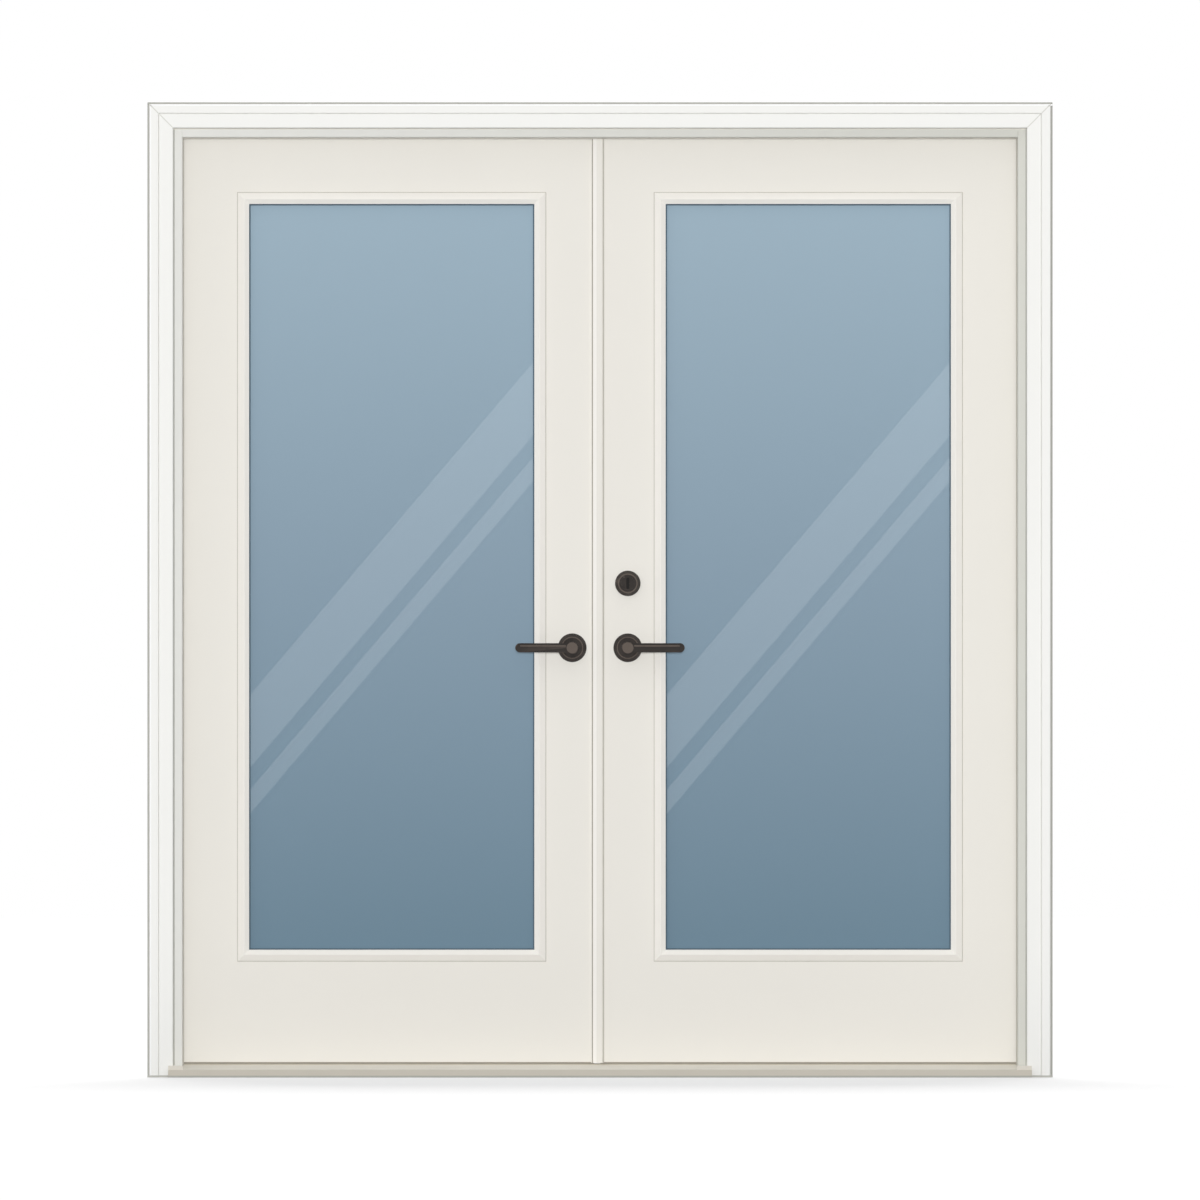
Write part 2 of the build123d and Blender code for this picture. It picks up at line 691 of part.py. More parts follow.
def bolt_plates():
    """Plates that the flush bolts shoot through, in the threshold and in the head."""
    plates = []
    for low in (CAP_HEIGHT - BOLT_PLATE_SHEET, RABBET_Z):
        high = low + BOLT_PLATE_SHEET
        plates.append(bolt_plate_blank(low, high) - flush_bolt_room(low, high, BOLT_HOLE_SLACK))
    return plates


# Latch and deadbolt

def faceplate_blank(height):
    """Outline of a faceplate, let into the active leaf's edge."""
    half_y, half_z = FACEPLATE_WIDTH / 2, FACEPLATE_HEIGHT / 2
    y = (MIDDLE_Y - half_y, MIDDLE_Y + half_y)
    return block((0, FACEPLATE_SHEET), y, (height - half_z, height + half_z))


def edge_bar(size, height, across):
    """A square bar along X on a lock's centre line."""
    half = size / 2
    return block(across, (MIDDLE_Y - half, MIDDLE_Y + half), (height - half, height + half))


def bolt_case(height, width, tall):
    """Case behind its faceplate, with a square way for the bolt and a hole for what turns it."""
    case = faceplate_blank(height)
    case += edge_bar(CASE_SIZE, height, (0, BACKSET + CASE_TAIL))
    case -= rod_y(SPINDLE_HOLE_R, BACKSET, height, (FACE_Y, JAMB_DEPTH))
    half_y, half_z = width / 2 + BOLT_SLIDE, tall / 2 + BOLT_SLIDE
    y = (MIDDLE_Y - half_y, MIDDLE_Y + half_y)
    return case - block((0, BACKSET), y, (height - half_z, height + half_z))


def lock_cases():
    """Cases of the latch and the deadbolt."""
    sizes = zip(LOCK_HEIGHTS, BOLT_WIDTHS, BOLT_HEIGHTS)
    return [bolt_case(height, width, tall) for height, width, tall in sizes]


def bolt_blank(height, width, tall, length):
    """A square bolt, drawn back level with its faceplate."""
    half_y, half_z = width / 2, tall / 2
    y = (MIDDLE_Y - half_y, MIDDLE_Y + half_y)
    return block((0, length), y, (height - half_z, height + half_z))


def latch_bolt():
    """Latch tongue, bevelled on the side that meets the strike first."""
    bolt = bolt_blank(LEVER_HEIGHT, LATCH_WIDTH, LATCH_HEIGHT, LATCH_LENGTH)
    half = LATCH_WIDTH / 2
    low = LEVER_HEIGHT - LATCH_HEIGHT
    bevel = [(0, MIDDLE_Y - half), (LATCH_THROW, MIDDLE_Y - half), (0, MIDDLE_Y + half - SKIN)]
    return bolt - prism_z(bevel, low, LEVER_HEIGHT + LATCH_HEIGHT)


def deadbolt_bolt():
    """Square deadbolt."""
    return bolt_blank(LOCK_HEIGHTS[1], DEADBOLT_WIDTH, DEADBOLT_HEIGHT, DEADBOLT_LENGTH)


def ring_points(radius, forward, height):
    """Corners of a many-sided ring in front of the leaf's outside face."""
    turns = [2 * math.pi * number / ROUND_SIDES for number in range(ROUND_SIDES)]
    y = FACE_Y - forward
    return [(BACKSET + radius * math.cos(turn), y, height + radius * math.sin(turn)) for turn in turns]


def turned(radius, rim, face_radius, rise, height):
    """A round rose on the leaf's outside face: an upright rim, then a bevel to its flat face."""
    rings = [
        ring_points(radius, 0, height),
        ring_points(radius, rim, height),
        ring_points(face_radius, rise, height),
    ]
    outlines = [rings[0], rings[-1]]
    for back, front in zip(rings, rings[1:]):
        for number in range(ROUND_SIDES):
            last = number - 1
            outlines.append([back[last], back[number], front[number], front[last]])
    faces = [Face(Wire.make_polygon(outline)) for outline in outlines]
    return Part(Solid(Shell(faces)).wrapped)


def rosette():
    """Lever rose: a rim, a bevel and a flat face."""
    return turned(ROSETTE_R, ROSETTE_RIM, ROSETTE_RING_R, ROSETTE_RISE, LEVER_HEIGHT)


def bored_rosette():
    """The same rose with a hole for the spindle."""
    return rosette() - rod_y(SPINDLE_HOLE_R, BACKSET, LEVER_HEIGHT, (0, FACE_Y))


def lever():
    """Straight lever: a round hub on the rose and a bar with a round end."""
    bar_back = LEVER_FRONT + LEVER_THICKNESS
    rose_face = FACE_Y - ROSETTE_RISE
    half = LEVER_DEPTH / 2
    tip = LEVER_REACH - half
    plane = Plane(origin=(BACKSET, bar_back, LEVER_HEIGHT), x_dir=(1, 0, 0), z_dir=(0, -1, 0))
    outline = Pos(tip / 2, 0) * Rectangle(tip, LEVER_DEPTH) + Pos(tip, 0) * Circle(half)
    bar = extrude(plane * outline, amount=LEVER_THICKNESS)
    hub = rod_y(HUB_R, BACKSET, LEVER_HEIGHT, (LEVER_FRONT - HUB_PROUD, rose_face - CLEARANCE))
    return hub + bar - spindle_bar(rose_face - SPINDLE_GRIP, FACE_Y)


def spindle_bar(low, high):
    """Square bar on the lever's axis."""
    half = SPINDLE / 2
    return block((BACKSET - half, BACKSET + half), (low, high), (LEVER_HEIGHT - half, LEVER_HEIGHT + half))


def spindle():
    """Square spindle from one lever to the other."""
    low = FACE_Y - ROSETTE_RISE - SPINDLE_GRIP
    return spindle_bar(low, 2 * MIDDLE_Y - low)


def deadbolt_collar():
    """Tapered guard with a seat for the key plug."""
    face = FACE_Y - COLLAR_RISE
    height = LOCK_HEIGHTS[1]
    seat = rod_y(PLUG_R + CLEARANCE, BACKSET, height, (face, face + PLUG_LENGTH))
    return turned(COLLAR_R, COLLAR_RIM, COLLAR_FACE_R, COLLAR_RISE, height) - seat


def key_plug():
    """Round plug with an upright keyway."""
    height = LOCK_HEIGHTS[1]
    face = FACE_Y - COLLAR_RISE
    plug = rod_y(PLUG_R, BACKSET, height, (face, face + PLUG_LENGTH))
    half_x, half_z = KEYWAY_WIDTH / 2, KEYWAY_HEIGHT / 2
    slot_z = (height - half_z, height + half_z)
    slot = block((BACKSET - half_x, BACKSET + half_x), (face, face + KEYWAY_DEPTH), slot_z)
    return plug - slot


def deadbolt_rose():
    """Inside rose that the thumb turn sits in."""
    height = LOCK_HEIGHTS[1]
    seat = rod_y(TURN_HUB_R + CLEARANCE, BACKSET, height, (0, FACE_Y))
    return inside_out(turned(COLLAR_R, ROSETTE_RIM, ROSETTE_RING_R, ROSE_RISE, height) - seat)


def thumb_turn():
    """Thumb turn with the flat tail that works the bolt."""
    height = LOCK_HEIGHTS[1]
    rose = FACE_Y - ROSE_RISE
    hub = rod_y(TURN_HUB_R, BACKSET, height, (rose - TURN_HUB, rose + TURN_SEAT))
    half_x, half_z = TURN_THICKNESS / 2, TURN_LENGTH / 2
    grip_y = (rose - TURN_RISE, rose - CLEARANCE)
    grip = block((BACKSET - half_x, BACKSET + half_x), grip_y, (height - half_z, height + half_z))
    grip = chamfer(grip.edges().filter_by(Axis.X).group_by(Axis.Y)[0], half_x)
    tail_x, tail_z = TAIL_THICKNESS / 2, TAIL_WIDTH / 2
    tail_y = (rose + TURN_SEAT, MIDDLE_Y + CASE_SIZE / 2)
    tail = block((BACKSET - tail_x, BACKSET + tail_x), tail_y, (height - tail_z, height + tail_z))
    return inside_out(hub + grip + tail)


def frame_pieces():
    """Everything that stays on the wall."""
    jamb_leaves = [jamb_hinge_leaf(height) for height in HINGE_HEIGHTS]
    return {
        "left_jamb": [mirrored(side_jamb())],
        "right_jamb": [side_jamb()],
        "head_jamb": [head_jamb()],
        "door_stops": [side_stop(), mirrored(side_stop()), head_stop()],
        "left_casing": [mirrored(side_casing())],
        "right_casing": [side_casing()],
        "head_casing": [head_casing()],
        "sill_base": [sill_base()],
        "sill_deck": [sill_deck()],
        "threshold_cap": [threshold_cap()],
        "left_weatherstrip": [mirrored(side_weatherstrip())],
        "right_weatherstrip": [side_weatherstrip()],
        "head_weatherstrip": [head_weatherstrip()],
        "flush_bolt_plates": bolt_plates(),
        "left_jamb_hinge_leaves": [mirrored(leaf) for leaf in jamb_leaves],
        "right_jamb_hinge_leaves": jamb_leaves,
    }


def shared_leaf_pieces(lock_edge):
    """What the two leaves have alike."""
    return {
        "outer_lite_frame": [lite_frame()],
        "inner_lite_frame": [inside_out(lite_frame())],
        "outer_pane": [pane()],
        "inner_pane": [inside_out(pane())],
        "glass_spacer": [glass_spacer()],
        "sweep": [sweep_strip(lock_edge)],
        "door_hinge_leaves": [door_hinge_leaf(height) for height in HINGE_HEIGHTS],
        "outer_lever": [lever()],
        "inner_lever": [inside_out(lever())],
    }


def left_pieces():
    """Inactive leaf with its astragal, flush bolts and fixed levers."""
    leaf = leaf_pieces(STEM_X, slab_cuts() + [deadbolt_pocket()])
    leaf |= shared_leaf_pieces(STEM_X)
    leaf["outer_rosette"] = [rosette()]
    leaf["inner_rosette"] = [inside_out(rosette())]
    named = {"left_" + name: solids for name, solids in leaf.items()}
    named["astragal_flange"] = [astragal_flange()]
    named["astragal_stem"] = [astragal_stem()]
    named["astragal_seal"] = [astragal_seal()]
    named["lock_strikes"] = lock_strikes()
    named["top_flush_bolt"] = [flush_bolt(LEAF_TOP - FLUSH_BOLT_LENGTH, LEAF_TOP, -1)]
    named["bottom_flush_bolt"] = [flush_bolt(LEAF_BOTTOM, LEAF_BOTTOM + FLUSH_BOLT_LENGTH, 0)]
    return {name: [mirrored(solid) for solid in solids] for name, solids in named.items()}


def right_pieces():
    """Active leaf with its latch and deadbolt."""
    leaf = leaf_pieces(0, slab_cuts() + lock_cuts())
    leaf |= shared_leaf_pieces(0)
    leaf["outer_rosette"] = [bored_rosette()]
    leaf["inner_rosette"] = [inside_out(bored_rosette())]
    named = {"right_" + name: solids for name, solids in leaf.items()}
    named["lever_spindle"] = [spindle()]
    named["lock_cases"] = lock_cases()
    named["latch_bolt"] = [latch_bolt()]
    named["deadbolt_bolt"] = [deadbolt_bolt()]
    named["deadbolt_collar"] = [deadbolt_collar()]
    named["key_plug"] = [key_plug()]
    named["deadbolt_rose"] = [deadbolt_rose()]
    named["thumb_turn"] = [thumb_turn()]
    return named


def main():
    """Build every piece and write it out under its own name."""
    os.makedirs("parts", exist_ok=True)
    for name, solids in (frame_pieces() | left_pieces() | right_pieces()).items():
        found = [solid for piece in solids for solid in piece.solids()]
        shape = found[0] if len(found) == 1 else Compound(children=found)
        export_step(shape, "parts/" + name + ".step")


main()
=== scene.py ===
import logging
import math
from abc import ABC, abstractmethod
from dataclasses import dataclass, field
from enum import Enum
from typing import ClassVar, Iterable, Optional, Sequence, Union

import bmesh
import bpy
from mathutils import Matrix, Vector


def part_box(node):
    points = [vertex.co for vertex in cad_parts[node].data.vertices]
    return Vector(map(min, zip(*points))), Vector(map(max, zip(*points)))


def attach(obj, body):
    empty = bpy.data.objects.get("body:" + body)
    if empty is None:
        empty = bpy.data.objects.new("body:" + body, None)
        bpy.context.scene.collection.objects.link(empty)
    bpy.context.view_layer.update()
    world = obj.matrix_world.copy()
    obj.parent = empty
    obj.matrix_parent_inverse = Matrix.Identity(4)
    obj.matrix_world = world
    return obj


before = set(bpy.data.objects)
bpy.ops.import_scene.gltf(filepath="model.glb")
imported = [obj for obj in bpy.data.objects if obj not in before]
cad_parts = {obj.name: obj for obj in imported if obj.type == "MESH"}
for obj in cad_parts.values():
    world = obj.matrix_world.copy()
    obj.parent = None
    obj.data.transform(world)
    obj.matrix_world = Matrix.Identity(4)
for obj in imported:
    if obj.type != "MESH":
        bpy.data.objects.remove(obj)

log = logging.getLogger("double_door")

# Finishes, with the width of the edge bevels in metres and the nodes that have them
Coats = Iterable[tuple[str, float, Sequence[str]]]
Colour = tuple[float, float, float]
Material = bpy.types.Material
Mesh = bmesh.types.BMesh
Node = bpy.types.Node
Number = Union[float, "Value"]
Point = tuple[float, float]
Socket = bpy.types.NodeSocket
Triple = tuple[float, float, float]

WHITE: Colour = (1.0, 1.0, 1.0)

# Places of the locks, in metres from the middle of the door and from the floor
LOCK_OFFSET = 0.0603
LEVER_HEIGHT = 0.9301
DEADBOLT_HEIGHT = 1.0698


def tint(text: str, share: float = 1.0) -> Colour:
    """Turn a screen colour into scene-linear values.

    Args:
        text: six hexadecimal digits.
        share: factor that makes it lighter or darker.

    Returns:
        Linear red, green and blue.
    """
    parts = [int(text[i:i + 2], 16) / 255 for i in (0, 2, 4)]
    linear = [part / 12.92 if part <= 0.04045 else ((part + 0.055) / 1.055) ** 2.4 for part in parts]
    return tuple(min(1.0, part * share) for part in linear)


class Face(Enum):
    """Which face of a leaf a piece is on."""

    OUTSIDE = "outer"
    INSIDE = "inner"

    @property
    def outward(self) -> Vector:
        """Direction that the face looks in."""
        return Vector((0, -1 if self is Face.OUTSIDE else 1, 0))

    def front(self, node: str) -> float:
        """Y of a node's outermost point on this face."""
        low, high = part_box(node)
        return low.y if self is Face.OUTSIDE else high.y


class Side(Enum):
    """Left or right, as seen from outside."""

    LEFT = "left"
    RIGHT = "right"

    @property
    def sign(self) -> int:
        """Direction along X."""
        return -1 if self is Side.LEFT else 1

    @property
    def body(self) -> str:
        """CAD body of the leaf on this side."""
        return "inactive_door" if self is Side.LEFT else "active_door"

    @property
    def lever_body(self) -> str:
        """CAD body of the levers on this side."""
        return "inactive_door" if self is Side.LEFT else "active_lever"

    def edge(self, node: str, outer: bool = True) -> float:
        """X of the edge of a node that is further from, or nearer to, the middle of the door."""
        low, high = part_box(node)
        return high.x if outer == (self is Side.RIGHT) else low.x


@dataclass(eq=False)
class Value:
    """A number socket that can be used in sums."""

    graph: "Graph"
    socket: Socket

    def __add__(self, other: Number) -> "Value":
        """Sum."""
        return self.graph.maths("ADD", self, other)

    __radd__ = __add__

    def __sub__(self, other: Number) -> "Value":
        """Difference."""
        return self.graph.maths("SUBTRACT", self, other)

    def __rsub__(self, other: Number) -> "Value":
        """Difference, the other way round."""
        return self.graph.maths("SUBTRACT", other, self)

    def __mul__(self, other: Number) -> "Value":
        """Product."""
        return self.graph.maths("MULTIPLY", self, other)

    __rmul__ = __mul__

    def __truediv__(self, other: Number) -> "Value":
        """Quotient."""
        return self.graph.maths("DIVIDE", self, other)

    def __rtruediv__(self, other: Number) -> "Value":
        """Quotient, the other way round."""
        return self.graph.maths("DIVIDE", other, self)

    def __pow__(self, other: Number) -> "Value":
        """Power."""
        return self.graph.maths("POWER", self, other)

    def __rpow__(self, other: Number) -> "Value":
        """Power, the other way round."""
        return self.graph.maths("POWER", other, self)

    def __or__(self, other: Number) -> "Value":
        """The larger of the two."""
        return self.graph.maths("MAXIMUM", self, other)

    __ror__ = __or__

    def clamped(self) -> "Value":
        """The value held between nought and one."""
        return self.graph.maths("ADD", self, 0.0, clamp=True)

    def ramp(self, low: float, high: float) -> "Value":
        """A clamped ramp that is nought at low and one at high."""
        return ((self - low) / (high - low)).clamped()


@dataclass(eq=False)
class Graph:
    """Node tree of a material or of the world."""

    tree: bpy.types.NodeTree

    def add(self, kind: str, settings: Optional[dict[str, object]] = None, **sockets: object) -> Node:
        """Add a node.

        Args:
            kind: the node's type.
            settings: properties of the node, set before its sockets.
            sockets: values or links, named as fill takes them.

        Returns:
            The node.
        """
        node = self.tree.nodes.new(kind)
        for key, value in (settings or {}).items():
            setattr(node, key, value)
        self.fill(node, sockets)
        return node

    def fill(self, node: Node, sockets: dict[str, object]) -> None:
        """Set or link sockets of a node.

        Args:
            node: the node.
            sockets: values or links by socket name with underscores for spaces, or by number as _0.
        """
        for key, value in sockets.items():
            name = int(key[1:]) if key.startswith("_") else key.replace("_", " ")
            self.put(node.inputs[name], value)

    def put(self, socket: Socket, value: object) -> None:
        """Set or link a socket.

        Args:
            socket: an input.
            value: a number, a colour, a node, a socket or a Value.
        """
        if isinstance(value, Value):
            self.tree.links.new(value.socket, socket)
        elif isinstance(value, Node):
            self.tree.links.new(value.outputs[0], socket)
        elif isinstance(value, Socket):
            self.tree.links.new(value, socket)
        elif socket.type == "RGBA":
            socket.default_value = (*value[:3], 1.0)
        else:
            socket.default_value = value

    def maths(self, operation: str, left: Number, right: Number, clamp: bool = False) -> Value:
        """Add a Math node, which may hold its result between nought and one."""
        settings = {"operation": operation, "use_clamp": clamp}
        return Value(self, self.add("ShaderNodeMath", settings, _0=left, _1=right).outputs[0])

    def blend(self, share: Number, low: object, high: object) -> Socket:
        """Mix two colours by the second one's share."""
        return self.add("ShaderNodeMix", {"data_type": "RGBA"}, _0=share, _6=low, _7=high).outputs[2]

    def shares(self, share: Number, low: Node, high: Node) -> Node:
        """Mix two shaders by the second one's share."""
        return self.add("ShaderNodeMixShader", None, _0=share, _1=low, _2=high)

    def seen(self) -> Value:
        """Tell which rays show the background.

        Returns:
            One for rays that come from the camera, or by a reflection or through glass.
        """
        path = self.add("ShaderNodeLightPath").outputs
        camera, glossy, through = (
            Value(self, path[f"Is {kind} Ray"]) for kind in ("Camera", "Glossy", "Transmission")
        )
        return camera | glossy | through


class Surface(Graph):
    """A material's nodes, with its Principled shader."""

    def __init__(self, name: str) -> None:
        """Start a material.

        Args:
            name: the material's name.
        """
        self.material = bpy.data.materials.new(name)
        self.material.use_nodes = True
        super().__init__(self.material.node_tree)
        self.shader = self.tree.nodes["Principled BSDF"]

    def place(self) -> Socket:
        """Object coordinates, in metres."""
        return self.add("ShaderNodeTexCoord").outputs["Object"]

    def axes(self) -> list[Value]:
        """The object coordinates one by one."""
        split = self.add("ShaderNodeSeparateXYZ", None, Vector=self.place())
        return [Value(self, output) for output in split.outputs]

    def noise(self, scale: float, detail: float = 2.0, stretch: Triple = (1.0, 1.0, 1.0)) -> Value:
        """Add noise in object space.

        Args:
            scale: waves per metre.
            detail: octaves.
            stretch: factors along the axes.

        Returns:
            Noise about one half.
        """
        mapped = self.add("ShaderNodeMapping", None, Vector=self.place(), Scale=stretch)
        node = self.add("ShaderNodeTexNoise", None, Vector=mapped, Scale=scale, Detail=detail)
        return Value(self, node.outputs["Fac"])

    def mottled(self, share: Number, colour: str, spread: float) -> Socket:
        """A colour that runs from darker to lighter by a spread."""
        return self.blend(share, tint(colour, 1 - spread), tint(colour, 1 + spread))

    def bump(self, height: Value, strength: float, depth: float) -> None:
        """Feed a share of a height map to the shader's normal, at a depth in metres per unit."""
        node = self.add("ShaderNodeBump", None, Strength=strength, Distance=depth, Height=height)
        self.put(self.shader.inputs["Normal"], node)

    def output(self, shader: Node) -> Material:
        """Use another shader in place of the Principled one."""
        self.put(self.tree.nodes["Material Output"].inputs[0], shader)
        return self.material

    def finish(self, **sockets: object) -> None:
        """Set the Principled shader's sockets, named as fill takes them."""
        self.fill(self.shader, sockets)


@dataclass(frozen=True)
class Finish(ABC):
    """The look of a material."""

    def make(self, name: str) -> Material:
        """Build the material.

        Args:
            name: the material's name.

        Returns:
            The material.
        """
        graph = Surface(name)
        self.coat(graph)
        return graph.material

    @abstractmethod
    def coat(self, graph: Surface) -> None:
        """Set up the material's nodes."""


@dataclass(frozen=True)
class Paint(Finish):
    """Sprayed or brushed satin paint, which turns to a far colour along X where it has one; that turn is
    painted light.
    """

    colour: str
    roughness: float = 0.42
    peel: float = 0.12
    grain: float = 0.0
    far: str = ""
    span: Point = (-0.9, 0.9)
    grain_stretch: ClassVar[Triple] = (1.0, 1.0, 0.05)

    def coat(self, graph: Surface) -> None:
        """Give a faint tone drift, orange peel and, on wood, a little grain.

        Args:
            graph: the material's nodes.
        """
        drift = graph.noise(3.0, 3.0)
        height = graph.noise(420.0, 1.0) * self.peel
        if self.grain:
            height = height + graph.noise(60.0, 4.0, self.grain_stretch) * self.grain
        graph.bump(height, 0.5, 0.0005)
        rough = drift * 0.08 + (self.roughness - 0.04)
        colour = graph.mottled(drift, self.colour, 0.01)
        # Painted light: the ramp along X paints shade on the jambs' right and a highlight on the astragal's
        # bevel.
        if self.far:
            colour = graph.blend(graph.axes()[0].ramp(*self.span), colour, tint(self.far))
        graph.finish(Base_Color=colour, Roughness=rough, Specular_IOR_Level=0.35)


@dataclass(frozen=True)
class Bronze(Finish):
    """Dark oil-rubbed bronze."""

    colour: str
    # Colour of the painted highlight on edges and on the hub end.
    edge: str
    roughness: float = 0.38
    hub: Point = (0.0, 0.0)
    hub_radius: float = 0.0
    hub_blur: ClassVar[float] = 0.0003

    def coat(self, graph: Surface) -> None:
        """Mottle the metal, with a painted highlight that makes its edges, in patches, and its hub end a
        little lighter.

        Args:
            graph: the material's nodes.
        """
        cloud = graph.noise(45.0, 4.0)
        point = Value(graph, graph.add("ShaderNodeNewGeometry").outputs["Pointiness"])
        highlight_mask = point.ramp(0.51, 0.6) * cloud.ramp(0.3, 0.7)
        tone = graph.mottled(cloud, self.colour, 0.15)
        graph.bump(graph.noise(800.0, 2.0), 0.2, 0.0002)
        rough = self.roughness + (cloud - 0.5) * 0.15
        # Painted highlight: a lighter disc over the lever's hub end.
        if self.hub_radius:
            x, _, z = graph.axes()
            across, up = x - self.hub[0], z - self.hub[1]
            away = (across * across + up * up) ** 0.5
            highlight_mask = highlight_mask | (1.0 - away.ramp(self.hub_radius - self.hub_blur, self.hub_radius))
        colour = graph.blend(highlight_mask, tone, tint(self.edge))
        graph.finish(Base_Color=colour, Roughness=rough, Metallic=0.6, Coat_Weight=0.1)


@dataclass(frozen=True)
class Brushed(Finish):
    """Brushed or milled bare metal."""

    colour: str
    roughness: float = 0.32
    stretch: ClassVar[Triple] = (1.0, 1.0, 14.0)

    def coat(self, graph: Surface) -> None:
        """Draw fine brush lines.

        Args:
            graph: the material's nodes.
        """
        lines = graph.noise(300.0, 2.0, self.stretch)
        colour = graph.blend(lines, tint(self.colour, 0.85), tint(self.colour))
        graph.bump(lines, 0.2, 0.0003)
        graph.finish(Base_Color=colour, Roughness=lines * 0.2 + self.roughness, Metallic=1.0)


@dataclass(frozen=True)
class Glass(Finish):
    """Pane whose blue-grey colour is a painted sky reflection, lighter at the top and deeper towards its
    foot.
    """

    top: str
    middle: str
    foot: str
    low: float
    high: float
    cover: float

    def coat(self, graph: Surface) -> None:
        """Paint the sky's reflection into the pane by height and see through it by its cover, with faint
        clouding.

        Args:
            graph: the material's nodes.
        """
        height = graph.axes()[2]
        half = (self.low + self.high) / 2
        # Painted reflection: the sky's blue, lighter at the top and deeper towards the foot.
        lower = graph.blend(height.ramp(self.low, half), tint(self.foot), tint(self.middle))
        colour = graph.blend(height.ramp(half, self.high), lower, tint(self.top))
        cover = self.cover + (graph.noise(1.3, 1.0) - 0.5) * 0.02
        graph.finish(Base_Color=colour, Roughness=0.0, Alpha=cover, IOR=1.5)


@dataclass(frozen=True)
class Composite(Finish):
    """Dull moulded plastic, sealant, rubber, foam or composite."""

    colour: str
    roughness: float = 0.6
    speck: float = 0.06
    scale: float = 500.0
    relief: float = 0.25

    def coat(self, graph: Surface) -> None:
        """Give a fine moulded grain.

        Args:
            graph: the material's nodes.
        """
        grain = graph.noise(self.scale, 3.0)
        graph.bump(grain, self.relief, 0.0004)
        colour = graph.mottled(grain, self.colour, self.speck)
        graph.finish(Base_Color=colour, Roughness=self.roughness, Specular_IOR_Level=0.3)


@dataclass(frozen=True)
class Softwood(Finish):
    """Bare sawn softwood."""

    light: str
    dark: str
    stretch: ClassVar[Triple] = (1.0, 1.0, 0.06)

    def coat(self, graph: Surface) -> None:
        """Draw rings stretched along the wood's length.

        Args:
            graph: the material's nodes.
        """
        rings = graph.noise(55.0, 4.0, self.stretch)
        graph.bump(rings, 0.3, 0.0008)
        colour = graph.blend(rings.ramp(0.35, 0.65), tint(self.light), tint(self.dark))
        graph.finish(Base_Color=colour, Roughness=0.7)


@dataclass(frozen=True)
class CoatedSheet(Finish):
    """Coated aluminium sill, darker on its upright nose as painted shade and darker still along its foot,
    with scuffs on its tread.
    """

    tread: str
    nose: str
    foot: str
    nose_height: float
    foot_height: float
    nose_blur: ClassVar[float] = 0.0012
    foot_blur: ClassVar[float] = 0.0005
    scuff_stretch: ClassVar[Triple] = (0.3, 1.0, 1.0)
    line_stretch: ClassVar[Triple] = (0.03, 1.0, 1.0)

    def coat(self, graph: Surface) -> None:
        """Tell tread, nose and foot apart by height, the nose and foot darker than the tread, with scuffs and
        fine rolling lines.

        Args:
            graph: the material's nodes.
        """
        scuff = graph.noise(26.0, 4.0, self.scuff_stretch)
        lines = graph.noise(500.0, 2.0, self.line_stretch)
        height = graph.axes()[2]
        # A darker band along the bottom of the sill.
        above = height.ramp(self.foot_height - self.foot_blur, self.foot_height)
        front = graph.blend(above, tint(self.foot), tint(self.nose))
        # Painted shade: the upright nose is darker than the sloped tread.
        level = height.ramp(self.nose_height - self.nose_blur, self.nose_height)
        tone = graph.blend(level, front, tint(self.tread))
        colour = graph.blend(scuff.ramp(0.55, 0.8) * 0.12, tone, tint(self.nose, 0.7))
        graph.bump(lines, 0.25, 0.0003)
        graph.finish(Base_Color=colour, Roughness=0.45 + scuff * 0.1, Metallic=0.1)


